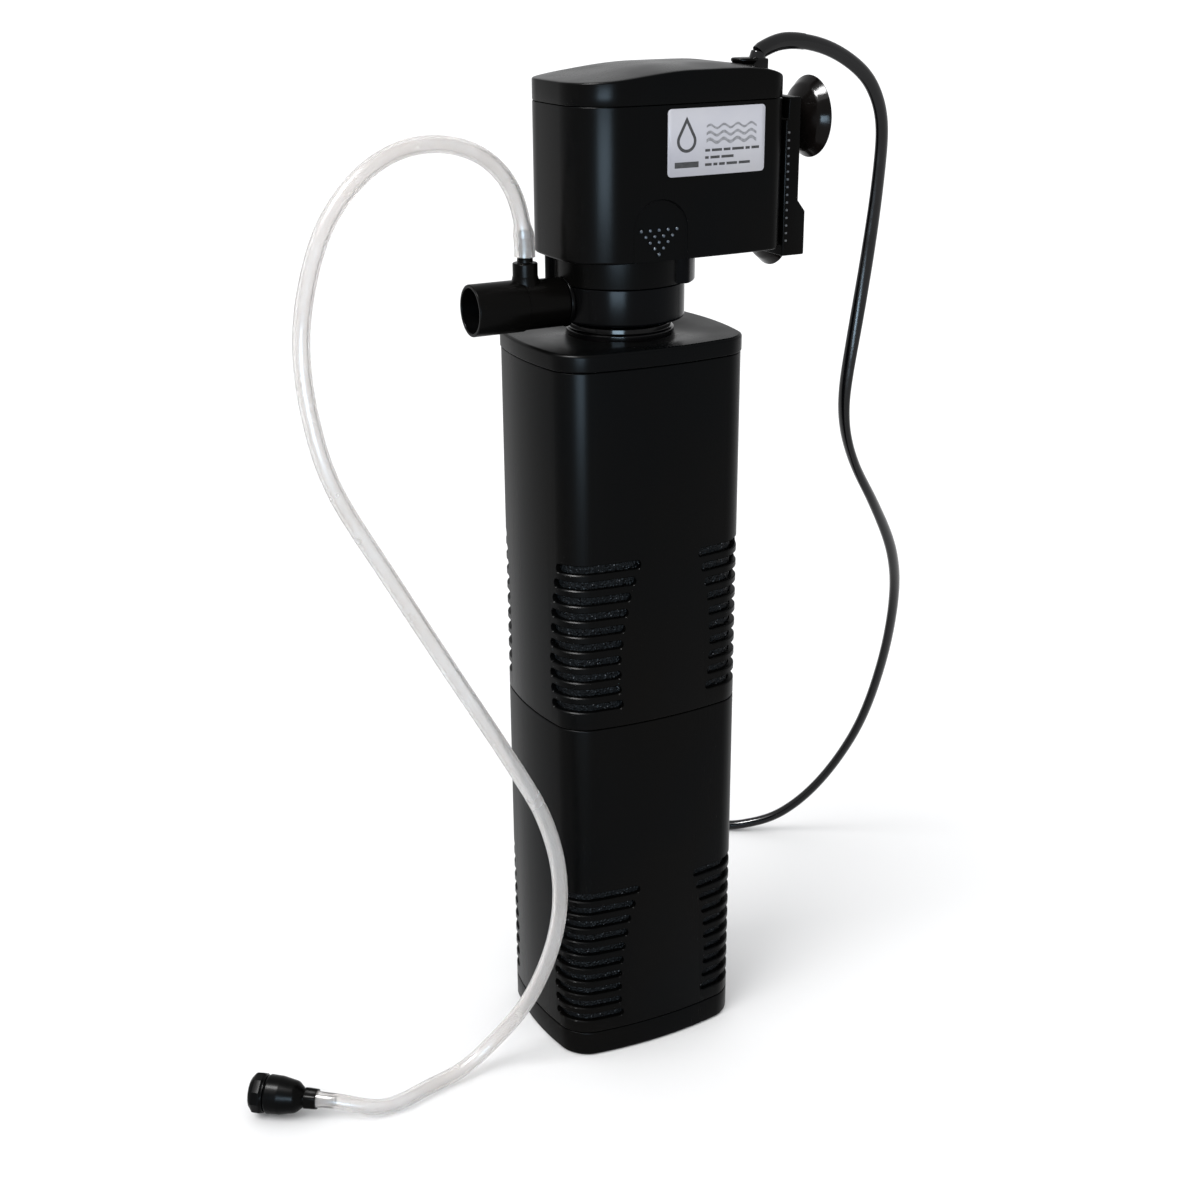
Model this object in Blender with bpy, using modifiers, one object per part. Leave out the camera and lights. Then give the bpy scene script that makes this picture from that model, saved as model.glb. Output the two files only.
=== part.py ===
"""Submersible aquarium filter: a pump head on two stacked sponge canisters, with an air hose and a mains cord.

Metres, +Z up. The filter stands on z = 0 and the pump's vertical axis is the Z axis. The water outlet points
to -Y and the suction cups to +Y. Every sub-part is its own object, in the collection named for the filter.
"""

import bpy
import bmesh
from math import atan2, ceil, cos, pi, radians, sin, sqrt
from mathutils import Matrix, Vector

MM = 0.001
GAP = 0.3 * MM                    # between neighbouring solids that touch
WELD = 0.00001

# Column of canisters: half sizes at the corners, and how far each side bulges beyond them
COLUMN_HALF_X = 33.2 * MM
COLUMN_HALF_Y = 40.5 * MM
COLUMN_BULGE = 4.4 * MM
COLUMN_CORNER = 9.0 * MM
WALL = 2.1 * MM
BASE_TOP = 11.8 * MM
MIDDLE_SEAM = 161.5 * MM
LID_SEAM = 314.4 * MM
LID_TOP = 321.6 * MM
RIM_HEIGHT = 5.2 * MM             # male rim that each lower part pushes into the one above it
RIM_OUTER = WALL + GAP            # how far the rim is set in from the outline
RIM_INNER = RIM_OUTER + 1.9 * MM

# Inlet slots, wrapped round each vertical corner of a canister
SLOT_COUNT = 10
SLOT_PITCH = 6.8 * MM
SLOT_HEIGHT = 3.3 * MM
FIRST_SLOT = 9.6 * MM             # above the canister's lower seam

# Core tubes and sponges
CORE_OUTER = 12.1 * MM
CORE_INNER = 10.2 * MM
SPONGE_INSET = WALL + 0.5 * MM
SPONGE_HOLE = CORE_OUTER + 0.5 * MM

# Neck and pump chamber
CHAMBER_RADIUS = 25.7 * MM
CHAMBER_BOTTOM = 328.0 * MM
CHAMBER_TOP = 342.7 * MM
SPIGOT_RADIUS = 17.2 * MM
SOCKET_RADIUS = 22.0 * MM
SOCKET_TOP = 326.4 * MM
COLLAR_RADIUS = 26.0 * MM
LUG_RADIUS = 29.7 * MM
LUG_ANGLES = (55, 235)
LUG_HALF_ANGLE = 17

# Outlet and nozzle
OUTLET_Z = 336.1 * MM
FLANGE_RADIUS = 10.3 * MM
FLANGE_END = -26.6 * MM
STUB_RADIUS = 8.2 * MM
STUB_BORE = 6.7 * MM
STUB_END = -52.0 * MM
NOZZLE_RADIUS = 10.3 * MM
NOZZLE_ROOT_RADIUS = 9.8 * MM
NOZZLE_BORE = 8.5 * MM
NOZZLE_STEP = -40.8 * MM
NOZZLE_END = -66.4 * MM
NIPPLE_Y = -42.3 * MM
NIPPLE_TOP = 355.0 * MM

# Motor housing
HEAD_HALF_X = 28.6 * MM
HEAD_FRONT = -30.0 * MM
HEAD_REAR = 60.5 * MM
HEAD_FRONT_CORNER = 17.9 * MM
HEAD_REAR_CORNER = 7.4 * MM
HEAD_BULGE = 1.7 * MM
HEAD_BOTTOM = 354.0 * MM
HEAD_SEAM = 412.9 * MM
COVER_EDGE = 421.0 * MM
COVER_RISE = 6.6 * MM
HEAD_WALL = 2.3 * MM
WELL_BORE = 8.2 * MM
WELL_OUTER = 9.9 * MM
WELL_TOP = 394.0 * MM

# Rotor
SHAFT_RADIUS = 1.5 * MM
ROTOR_BORE = 1.62 * MM
MAGNET_RADIUS = 7.4 * MM
IMPELLER_RADIUS = 16.0 * MM

# Bracket and suction cups
BRACKET_HALF_X = 26.0 * MM
BRACKET_FRONT = HEAD_REAR + 0.5 * MM
BRACKET_REAR = 66.9 * MM
SPACER_REAR = 70.5 * MM
BRACKET_BOTTOM = 350.5 * MM
BRACKET_TOP = 413.0 * MM
CUP_RADIUS = 16.2 * MM
CUP_PLACES = (("upper", 14.0 * MM, 404.0 * MM), ("lower", -14.0 * MM, 356.0 * MM))

# Air hose and its valve
HOSE_RADIUS = 3.3 * MM
HOSE_ROUTE = (
    (0, -42.3, 355.3), (0, -42.4, 363), (0.6, -45, 376), (2.5, -52, 388), (5.5, -64, 397), (9, -80, 401.5),
    (13, -98, 400.5), (18, -115, 393), (22, -130.5, 377.5), (25, -140, 356), (28, -144.5, 334),
    (31, -143.5, 309), (35, -137.5, 282.5), (40, -119.5, 246.5), (44, -98.5, 206.5), (45, -74.5, 162.5),
    (43, -58.5, 130.5), (40, -50.5, 98.5), (38, -52.5, 68.5), (31, -62, 37), (22.5, -77, 13.5),
    (23.5, -93, 4.6), (25.5, -107.5, 3.7), (29.8, -122, 3.7), (30.2, -134, 4.8),
)
VALVE_INLET = Vector((19.0, -156.5, 9.2)) * MM
VALVE_AXIS = Vector((-17.5, -23.5, 0.3)).normalized()

# Mains cord
CORD_RADIUS = 2.6 * MM
GLAND_X = 13.0 * MM
GLAND_Y = 56.0 * MM
GLAND_TOP = 427.4 * MM
CORD_ROUTE = (
    (13, 55.6, 429.4), (13, 58, 431.7), (13, 62.5, 433.6), (13, 68, 434.4), (13, 75, 433.9), (12.5, 83, 431.2),
    (12, 90, 428), (10, 102, 421),
    (5, 124, 400), (2, 131.5, 382), (0, 132.3, 352), (0, 125, 322), (-1, 117, 287), (-3, 116.5, 272),
    (-7, 123.5, 251), (-12, 142.5, 223.5), (-25, 165, 192), (-42, 180, 158), (-58, 187, 115),
    (-72, 184, 72), (-87, 172, 36), (-101, 156, 13), (-113, 138, 4), (-124, 119, 2.7),
)
STORE_ANGLE = radians(63)         # the spare cord is stored behind the column, square to this direction
COIL_SIDE = -8.0 * MM             # centre of the coil, sideways and away from the column
COIL_AWAY = 124.0 * MM
COIL_INNER = 20.9 * MM
COIL_OUTER = 37.3 * MM
COIL_HEIGHT = 11.2 * MM
PLUG_SIDE = -17.0 * MM            # rear end of the plug
PLUG_AWAY = 70.0 * MM
PLUG_HALF_HEIGHT = 6.9 * MM
PLUG_LENGTH = 36.0 * MM
PLUG_HALF_WIDTH = 13.0 * MM

ARC_STEPS = 4
SIDE_STEPS = 4


# ---------------------------------------------------------------- scene and materials

def clear_scene():
    for obj in list(bpy.data.objects):
        bpy.data.objects.remove(obj, do_unlink=True)


def new_collection(name):
    collection = bpy.data.collections.new(name)
    bpy.context.scene.collection.children.link(collection)
    return collection


def new_material(name, color, roughness, metallic=0.0):
    material = bpy.data.materials.new(name)
    material.use_nodes = True
    shader = material.node_tree.nodes["Principled BSDF"]
    shader.inputs["Base Color"].default_value = (*color, 1.0)
    shader.inputs["Roughness"].default_value = roughness
    shader.inputs["Metallic"].default_value = metallic
    material.diffuse_color = (*color, 1.0)
    return material


clear_scene()
PARTS = new_collection("canister_filter")
CUTTERS = new_collection("cutters")
BLACK = new_material("black_plastic", (0.018, 0.018, 0.020), 0.38)
GLOSS = new_material("gloss_black_plastic", (0.012, 0.012, 0.014), 0.16)
RUBBER = new_material("black_rubber", (0.012, 0.012, 0.012), 0.45)
SPONGE = new_material("sponge", (0.020, 0.022, 0.026), 0.95)
HOSE = new_material("milky_hose", (0.80, 0.74, 0.70), 0.35)
LABEL = new_material("label_foil", (0.78, 0.78, 0.86), 0.40)
STEEL = new_material("lamination_steel", (0.38, 0.38, 0.40), 0.45, 1.0)
COPPER = new_material("enamelled_copper", (0.55, 0.22, 0.08), 0.35, 1.0)
FERRITE = new_material("ferrite", (0.06, 0.06, 0.065), 0.55)
CERAMIC = new_material("ceramic", (0.85, 0.83, 0.78), 0.25)
BRASS = new_material("nickel_brass", (0.62, 0.60, 0.55), 0.25, 1.0)


# ---------------------------------------------------------------- outlines

def arc(cx, cy, radius, start, end, steps):
    """Points of an arc, angles in degrees, both ends included."""
    angles = [radians(start + (end - start) * i / steps) for i in range(steps + 1)]
    return [(cx + radius * cos(a), cy + radius * sin(a)) for a in angles]


def rounded_box(half_x, front, rear, front_corner, rear_corner, side_steps=SIDE_STEPS, arc_steps=ARC_STEPS):
    """Anticlockwise outline of a box with rounded corners, with extra points along its straight sides."""
    corners = (
        arc(half_x - rear_corner, rear - rear_corner, rear_corner, 0, 90, arc_steps),
        arc(rear_corner - half_x, rear - rear_corner, rear_corner, 90, 180, arc_steps),
        arc(front_corner - half_x, front + front_corner, front_corner, 180, 270, arc_steps),
        arc(half_x - front_corner, front + front_corner, front_corner, 270, 360, arc_steps),
    )
    points = []
    for corner, following in zip(corners, corners[1:] + corners[:1]):
        points += corner
        start, end = Vector(corner[-1]), Vector(following[0])
        points += [tuple(start.lerp(end, i / side_steps)) for i in range(1, side_steps)]
    return points


def column_outline(inset=0.0):
    """Outline of the canisters, set in by the given distance: all four sides bulge."""
    half_x, half_y = COLUMN_HALF_X - inset, COLUMN_HALF_Y - inset
    corner = COLUMN_CORNER - inset
    shape = []
    for x, y in rounded_box(half_x, -half_y, half_y, corner, corner):
        bulged_x = x * (1 + COLUMN_BULGE / half_x * (1 - (y / half_y) ** 2))
        bulged_y = y * (1 + COLUMN_BULGE / half_y * (1 - (x / half_x) ** 2))
        shape.append((bulged_x, bulged_y))
    return shape


def head_side_x(y, inset=0.0):
    """X of the motor housing's side wall at this y, clear of its corners."""
    middle, half = (HEAD_FRONT + HEAD_REAR) / 2, (HEAD_REAR - HEAD_FRONT) / 2 - inset
    return HEAD_HALF_X - inset + HEAD_BULGE * (1 - ((y - middle) / half) ** 2)


def head_outline(inset=0.0):
    """Outline of the motor housing: its two sides and its front bulge, its rear is flat."""
    half_x = HEAD_HALF_X - inset
    middle, half_y = (HEAD_FRONT + HEAD_REAR) / 2, (HEAD_REAR - HEAD_FRONT) / 2 - inset
    shape = []
    for x, y in rounded_box(half_x, HEAD_FRONT + inset, HEAD_REAR - inset,
                            HEAD_FRONT_CORNER - inset, HEAD_REAR_CORNER - inset):
        bulged_x = x * (1 + HEAD_BULGE / half_x * (1 - ((y - middle) / half_y) ** 2))
        bulged_y = y - HEAD_BULGE * (1 - (x / half_x) ** 2) if y < middle else y
        shape.append((bulged_x, bulged_y))
    return shape


def circle(radius, cx=0.0, cy=0.0, steps=32):
    return arc(cx, cy, radius, 0, 360, steps)[:-1]


# ---------------------------------------------------------------- modelling helpers

def add_object(name, mesh, material=None, cutter=False):
    obj = bpy.data.objects.new(name, mesh)
    if cutter:
        CUTTERS.objects.link(obj)
        obj.hide_render = True
        obj.display_type = "WIRE"
    else:
        PARTS.objects.link(obj)
        mesh.materials.append(material)
    return obj


def shade(obj, angle=35):
    obj.data.shade_smooth()
    obj.data.set_sharp_from_angle(angle=radians(angle))


def slab(name, outlines, bottom, top, material=None, cutter=False):
    """A flat outline, with any holes as further outlines, raised from bottom to top as one closed mesh."""
    curve = bpy.data.curves.new(name, "CURVE")
    curve.dimensions = "2D"
    curve.fill_mode = "BOTH"
    curve.extrude = (top - bottom) / 2
    for outline in outlines:
        spline = curve.splines.new("POLY")
        spline.points.add(len(outline) - 1)
        for point, (x, y) in zip(spline.points, outline):
            point.co = (x, y, 0, 1)
        spline.use_cyclic_u = True
    source = bpy.data.objects.new(name + "_outline", curve)
    bpy.context.scene.collection.objects.link(source)
    source.location.z = (bottom + top) / 2
    bpy.context.view_layer.update()
    mesh = bpy.data.meshes.new_from_object(source.evaluated_get(bpy.context.evaluated_depsgraph_get()))
    mesh.transform(source.matrix_world)
    bpy.data.objects.remove(source, do_unlink=True)
    weld_and_face_out(mesh)
    mesh.materials.clear()
    obj = add_object(name, mesh, material, cutter)
    shade(obj)
    return obj


def weld_and_face_out(mesh):
    bm = bmesh.new()
    bm.from_mesh(mesh)
    bmesh.ops.remove_doubles(bm, verts=bm.verts, dist=WELD)
    bmesh.ops.recalc_face_normals(bm, faces=bm.faces)
    bm.to_mesh(mesh)
    bm.free()


def round_level(outline, radius, z):
    """A circle with one point for each point of the outline, in the same direction from the middle."""
    angles = [atan2(y, x) for x, y in outline]
    return [(radius * cos(a), radius * sin(a), z) for a in angles]


def level(outline, z):
    return [(x, y, z) for x, y in outline]


def lofted(name, levels, material, closed):
    """A skin through rings of equally many points: closed on itself as a hollow shell, or capped at both ends."""
    bm = bmesh.new()
    rings = [[bm.verts.new(point) for point in points] for points in levels]
    count = len(rings[0])
    pairs = list(zip(rings, rings[1:])) + ([(rings[-1], rings[0])] if closed else [])
    for first, second in pairs:
        for i in range(count):
            following = (i + 1) % count
            bm.faces.new((first[i], first[following], second[following], second[i]))
    if not closed:
        bm.faces.new(rings[0])
        bm.faces.new(rings[-1])
    bmesh.ops.recalc_face_normals(bm, faces=bm.faces)
    mesh = bpy.data.meshes.new(name)
    bm.to_mesh(mesh)
    bm.free()
    obj = add_object(name, mesh, material)
    shade(obj)
    return obj


def boxes(name, spans, material=None, cutter=False):
    """Boxes given as ((x0, x1), (y0, y1), (z0, z1)), in one mesh."""
    bm = bmesh.new()
    for span in spans:
        centre = Vector([(low + high) / 2 for low, high in span])
        size = Matrix.Diagonal([high - low for low, high in span] + [1])
        bmesh.ops.create_cube(bm, size=1.0, matrix=Matrix.Translation(centre) @ size)
    mesh = bpy.data.meshes.new(name)
    bm.to_mesh(mesh)
    bm.free()
    return add_object(name, mesh, material, cutter)


def turned(name, profile, material=None, cutter=False, steps=32, place=(0, 0, 0), axis=(0, 0, 1), closed=False):
    """A profile of (radius, height) turned round an axis: down its outer side, and up its bore if it is closed."""
    mesh = bpy.data.meshes.new(name)
    count = len(profile)
    links = [(i, i + 1) for i in range(count - 1)] + ([(count - 1, 0)] if closed else [])
    mesh.from_pydata([(radius, 0, height) for radius, height in profile], links, [])
    obj = add_object(name, mesh, material, cutter)
    screw = obj.modifiers.new("Turn", "SCREW")
    screw.steps = screw.render_steps = steps
    screw.use_merge_vertices = True
    screw.merge_threshold = WELD
    screw.use_smooth_shade = True
    obj.location = place
    obj.rotation_mode = "QUATERNION"
    obj.rotation_quaternion = Vector((0, 0, 1)).rotation_difference(Vector(axis))
    return obj


def rod(name, radius, bottom, top, material=None, cutter=False, steps=32, place=(0, 0, 0), axis=(0, 0, 1)):
    profile = [(0, top), (radius, top), (radius, bottom), (0, bottom)]
    return turned(name, profile, material, cutter, steps, place, axis)


def ring(name, inner, outer, bottom, top, material=None, cutter=False, steps=32, place=(0, 0, 0), axis=(0, 0, 1)):
    profile = [(inner, top), (outer, top), (outer, bottom), (inner, bottom)]
    return turned(name, profile, material, cutter, steps, place, axis, closed=True)


def boolean(obj, other, operation):
    modifier = obj.modifiers.new(other.name, "BOOLEAN")
    modifier.operation = operation
    modifier.object = other
    modifier.solver = "EXACT"


def cut(obj, *cutters):
    for cutter in cutters:
        boolean(obj, cutter, "DIFFERENCE")


def join(obj, *others):
    for other in others:
        boolean(obj, other, "UNION")


def bevel(obj, width, segments=2, angle=50):
    modifier = obj.modifiers.new("Round edges", "BEVEL")
    modifier.width = width
    modifier.segments = segments
    modifier.limit_method = "ANGLE"
    modifier.angle_limit = radians(angle)


def smooth_route(points, spacing):
    """Points about one spacing apart on a smooth curve through the route's own points."""
    points = [Vector(p) for p in points]
    ends = [2 * points[0] - points[1]] + points + [2 * points[-1] - points[-2]]
    path = []
    for before, start, end, after in zip(ends, ends[1:], ends[2:], ends[3:]):
        steps = max(1, ceil((end - start).length / spacing))
        for i in range(steps):
            t = i / steps
            path.append(0.5 * (2 * start + (end - before) * t
                               + (2 * before - 5 * start + 4 * end - after) * t ** 2
                               + (3 * start - before - 3 * end + after) * t ** 3))
    return path + [points[-1]]


def tube(name, route, radius, spacing, material, resolution=2):
    curve = bpy.data.curves.new(name, "CURVE")
    curve.dimensions = "3D"
    curve.bevel_depth = radius
    curve.bevel_resolution = resolution
    curve.use_fill_caps = True
    path = smooth_route(route, spacing)
    spline = curve.splines.new("POLY")
    spline.points.add(len(path) - 1)
    for point, place in zip(spline.points, path):
        point.co = (*place, 1)
    obj = bpy.data.objects.new(name, curve)
    PARTS.objects.link(obj)
    curve.materials.append(material)
    return obj


def joint_empty(name, place=(0, 0, 0)):
    """An empty on a joint's axis, which the pieces that move on it are parented to."""
    empty = bpy.data.objects.new(name, None)
    empty.empty_display_size = 0.01
    empty.location = place
    PARTS.objects.link(empty)
    return empty


def parent_to(empty, pieces):
    bpy.context.view_layer.update()
    for piece in pieces:
        piece.parent = empty
        piece.matrix_parent_inverse = empty.matrix_world.inverted()


# ---------------------------------------------------------------- canisters

def slot_spans(seam):
    """Boxes that cut the inlet slots: each takes one corner of the column, and its reach follows a shallow curve."""
    outside = 60 * MM
    spans = []
    for i in range(SLOT_COUNT):
        z = seam + FIRST_SLOT + SLOT_PITCH * i
        height = (z - SLOT_HEIGHT / 2, z + SLOT_HEIGHT / 2)
        across = (22.4 + 8.6 * ((i - 2.5) / 6.5) ** 2) * MM
        front = (19.9 - 8.3 * ((i - 2) / 7) ** 2) * MM
        rear = (23.3 - 6.5 * ((i - 3) / 6) ** 2) * MM
        for side in ((across, outside), (-outside, -across)):
            spans.append((side, (-outside, -front), height))
            spans.append((side, (rear, outside), height))
    return spans


def make_canister(name, bottom, top, slots_from):
    """An open sleeve with a male rim on top, and a partition with the core tube's hole."""
    outer, inner = column_outline(), column_outline(WALL)
    rim_outer, rim_inner = column_outline(RIM_OUTER), column_outline(RIM_INNER)
    partition_top, partition_bottom = top - 2.0 * MM, top - 4.4 * MM
    shell = lofted(name, [
        level(outer, bottom), level(outer, top), level(rim_outer, top), level(rim_outer, top + RIM_HEIGHT),
        level(rim_inner, top + RIM_HEIGHT), level(rim_inner, partition_top),
        round_level(outer, CORE_OUTER + GAP, partition_top), round_level(outer, CORE_OUTER + GAP, partition_bottom),
        level(inner, partition_bottom), level(inner, bottom),
    ], BLACK, closed=True)
    cut(shell, boxes(name + "_slots", slot_spans(slots_from), cutter=True))
    return shell


def make_core_tube(name, bottom, top):
    """A tube with four columns of windows, which the filtered water rises through."""
    core = ring(name, CORE_INNER, CORE_OUTER, bottom, top, BLACK, steps=24)
    window, pitch = (2.2 * MM, 16 * MM), 24 * MM
    low = bottom + 12 * MM
    spans = []
    for i in range(int((top - low - window[1]) / pitch)):
        height = (low + pitch * i, low + pitch * i + window[1])
        spans.append(((-20 * MM, 20 * MM), (-window[0], window[0]), height))
        spans.append(((-window[0], window[0]), (-20 * MM, 20 * MM), height))
    for i in range(0, len(spans), 2):
        cut(core, boxes(f"{name}_windows_x_{i}", spans[i:i + 1], cutter=True))
        cut(core, boxes(f"{name}_windows_y_{i}", spans[i + 1:i + 2], cutter=True))
    return core


def make_base_cover():
    rim_outer, rim_inner = column_outline(RIM_OUTER), column_outline(RIM_INNER)
    floor, edge = 2.4 * MM, 1.2 * MM
    base = lofted("base_cover", [
        level(column_outline(edge), 0), level(column_outline(), edge), level(column_outline(), BASE_TOP),
        level(rim_outer, BASE_TOP), level(rim_outer, BASE_TOP + RIM_HEIGHT), level(rim_inner, BASE_TOP + RIM_HEIGHT),
        level(rim_inner, floor),
    ], BLACK, closed=False)
    join(base, ring("base_peg", 7.5 * MM, CORE_INNER - GAP, floor - 1 * MM, 9 * MM, cutter=True, steps=24))
    return base


def make_sponge(name, bottom, top):
    return slab(name, [column_outline(SPONGE_INSET), circle(SPONGE_HOLE, steps=24)], bottom, top, SPONGE)


def make_canister_lid():
    """A cap over the upper canister's rim, with a stepped socket for the pump's spigot."""
    outer, inner = column_outline(), column_outline(WALL)
    edge, step, plate_bottom = 1.4 * MM, LID_TOP + 2.3 * MM, LID_TOP - 1.7 * MM
    seat = LID_TOP + 0.4 * MM
    return lofted("canister_lid", [
        level(outer, LID_SEAM + GAP), level(outer, LID_TOP - edge), level(column_outline(edge * 0.3), LID_TOP - edge * 0.3),
        level(column_outline(edge), LID_TOP), round_level(outer, SOCKET_RADIUS, LID_TOP),
        round_level(outer, SOCKET_RADIUS, step), round_level(outer, SOCKET_RADIUS - 1.1 * MM, step),
        round_level(outer, SOCKET_RADIUS - 1.1 * MM, SOCKET_TOP), round_level(outer, SPIGOT_RADIUS + 2 * GAP, SOCKET_TOP),
        round_level(outer, SPIGOT_RADIUS + 2 * GAP, seat), round_level(outer, CORE_INNER, seat),
        round_level(outer, CORE_INNER, plate_bottom), level(inner, plate_bottom), level(inner, LID_SEAM + GAP),
    ], BLACK, closed=True)


# ---------------------------------------------------------------- pump

def make_pump_chamber():
    """The volute: a cup with an inlet below, a spigot for the lid's socket and the outlet stub to -Y."""
    floor = CHAMBER_BOTTOM + 2.2 * MM
    profile = [
        (CHAMBER_RADIUS - 2.3 * MM, CHAMBER_TOP), (CHAMBER_RADIUS, CHAMBER_TOP),
        (CHAMBER_RADIUS, CHAMBER_BOTTOM + 0.8 * MM), (CHAMBER_RADIUS - 0.8 * MM, CHAMBER_BOTTOM),
        (SPIGOT_RADIUS, CHAMBER_BOTTOM), (SPIGOT_RADIUS, LID_TOP + 0.7 * MM),
        (SPIGOT_RADIUS - 2.2 * MM, LID_TOP + 0.7 * MM), (SPIGOT_RADIUS - 2.2 * MM, CHAMBER_BOTTOM),
        (8.0 * MM, CHAMBER_BOTTOM), (8.0 * MM, floor), (CHAMBER_RADIUS - 2.3 * MM, floor),
    ]
    chamber = turned("pump_chamber", profile, BLACK, steps=36, closed=True)
    along = dict(axis=(0, -1, 0), place=(0, 0, OUTLET_Z), cutter=True, steps=24)
    stub = turned("outlet_stub", [
        (0, -STUB_END), (STUB_RADIUS, -STUB_END), (STUB_RADIUS, -FLANGE_END),
        (FLANGE_RADIUS, -FLANGE_END), (FLANGE_RADIUS, 22.4 * MM), (0, 22.4 * MM),
    ], **along)
    bore = rod("outlet_bore", STUB_BORE, 15 * MM, 60 * MM, **along)
    clearance = rod("collar_clearance", COLLAR_RADIUS + GAP, CHAMBER_TOP, CHAMBER_TOP + 8 * MM, cutter=True, steps=36)
    spider = boxes("inlet_spider", [((-9 * MM, 9 * MM), (-1.2 * MM, 1.2 * MM),
                                     (CHAMBER_BOTTOM + 0.3 * MM, floor - 0.3 * MM))], cutter=True)
    socket = rod("bush_socket", 3.9 * MM, CHAMBER_BOTTOM + 0.15 * MM, floor + 0.4 * MM, cutter=True, steps=24)
    seat = rod("bush_seat", 2.7 * MM, CHAMBER_BOTTOM + 0.8 * MM, floor + 2 * MM, cutter=True, steps=24)
    join(chamber, stub)
    cut(chamber, bore, clearance)
    join(chamber, spider, socket)
    cut(chamber, seat)
    return chamber


def make_neck_seal():
    """Rubber ring between the lid's socket and the chamber's floor."""
    bottom, top = SOCKET_TOP + GAP, CHAMBER_BOTTOM - GAP
    return ring("neck_seal", SPIGOT_RADIUS + GAP, 19.6 * MM, bottom, top, RUBBER)


def make_impeller():
    """Six straight blades on a disc, with a hub that the magnet's sleeve is moulded on."""
    low, disc = CHAMBER_BOTTOM + 4.4 * MM, CHAMBER_BOTTOM + 12.4 * MM
    impeller = turned("impeller", [
        (ROTOR_BORE, 350 * MM), (4.2 * MM, 350 * MM), (4.2 * MM, disc + 1.4 * MM), (IMPELLER_RADIUS, disc + 1.2 * MM),
        (IMPELLER_RADIUS, disc), (4.2 * MM, disc), (4.2 * MM, low), (ROTOR_BORE, low),
    ], GLOSS, steps=24, closed=True)
    blade_count = 6
    for i in range(blade_count):
        blade = boxes(f"blade_{i}", [((3.6 * MM, IMPELLER_RADIUS - 0.4 * MM), (-0.7 * MM, 0.7 * MM),
                                      (low + 0.4 * MM, disc + 0.5 * MM))], cutter=True)
        blade.rotation_euler.z = 2 * pi * i / blade_count
        join(impeller, blade)
    return impeller


def make_rotor_magnet():
    return ring("rotor_magnet", ROTOR_BORE, MAGNET_RADIUS, 350 * MM + GAP, 386 * MM, FERRITE, steps=24)


def make_shaft():
    return rod("rotor_shaft", SHAFT_RADIUS, CHAMBER_BOTTOM + 1.3 * MM, 391 * MM, CERAMIC, steps=24)


def make_bushes():
    bore = SHAFT_RADIUS + 0.1 * MM
    lower = ring("shaft_bush_lower", bore, 2.4 * MM, CHAMBER_BOTTOM + 1.1 * MM, CHAMBER_BOTTOM + 4.0 * MM, RUBBER,
                 steps=24)
    upper = ring("shaft_bush_upper", bore, WELL_BORE - GAP, 387.6 * MM, 391.6 * MM, RUBBER, steps=24)
    return lower, upper


# ---------------------------------------------------------------- motor housing

def lug_outline(middle):
    """A sector of the bayonet flange."""
    start, end = middle - LUG_HALF_ANGLE, middle + LUG_HALF_ANGLE
    return arc(0, 0, LUG_RADIUS, start, end, 6) + arc(0, 0, COLLAR_RADIUS - 2 * MM, end, start, 6)


def make_motor_housing():
    """Shell open at the top, with the collar and bayonet lugs below, the blind rotor well and the bracket's rail."""
    housing = slab("motor_housing", [head_outline()], HEAD_BOTTOM, HEAD_SEAM, BLACK)
    bevel(housing, 1.0 * MM)
    cavity = slab("housing_cavity", [head_outline(HEAD_WALL)], HEAD_BOTTOM + 2.4 * MM, HEAD_SEAM + 5 * MM, cutter=True)
    collar = rod("housing_collar", COLLAR_RADIUS, CHAMBER_TOP + GAP, HEAD_BOTTOM + 1 * MM, cutter=True, steps=36)
    well = rod("rotor_well", WELL_OUTER, HEAD_BOTTOM + 1 * MM, WELL_TOP, cutter=True)
    bore = rod("rotor_well_bore", WELL_BORE, CHAMBER_TOP - 5 * MM, WELL_TOP - 2.0 * MM, cutter=True)
    rail = boxes("bracket_rail", [((-5 * MM, 5 * MM), (HEAD_REAR - 1 * MM, 62.6 * MM), (358 * MM, 403 * MM))],
                 cutter=True)
    rail_head = boxes("bracket_rail_head", [((-8 * MM, 8 * MM), (62.1 * MM, 63.9 * MM), (358 * MM, 403 * MM))],
                      cutter=True)
    pad = [(14 * MM, 340 * MM), (14 * MM, 366 * MM)] + arc(2 * MM, 366 * MM, 12 * MM, 15, 165, 8)
    pad += [(-10 * MM, 366 * MM), (-10 * MM, 340 * MM)]
    recesses = []
    for side in (-1, 1):
        recess = slab(f"grip_recess_{side}", [pad], -4 * MM, 4 * MM, cutter=True)
        recess.data.transform(Matrix(((0, 0, 1, 0), (1, 0, 0, 0), (0, 1, 0, 0), (0, 0, 0, 1))))
        recess.location.x = side * (head_side_x(2 * MM) + 4 * MM - 0.7 * MM)
        recesses.append(recess)
    cut(housing, cavity)
    join(housing, collar)
    for angle in LUG_ANGLES:
        join(housing, slab(f"bayonet_lug_{angle}", [lug_outline(angle)], CHAMBER_TOP + GAP + 0.2 * MM,
                           HEAD_BOTTOM + 0.8 * MM, cutter=True))
    join(housing, well, rail, rail_head)
    cut(housing, bore, *recesses)
    return housing


def scaled_level(outline, scale, z):
    """The outline drawn in about the highest point of the dome."""
    middle_y = 15 * MM
    return [(x * scale, middle_y + (y - middle_y) * scale, z) for x, y in outline]


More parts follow.
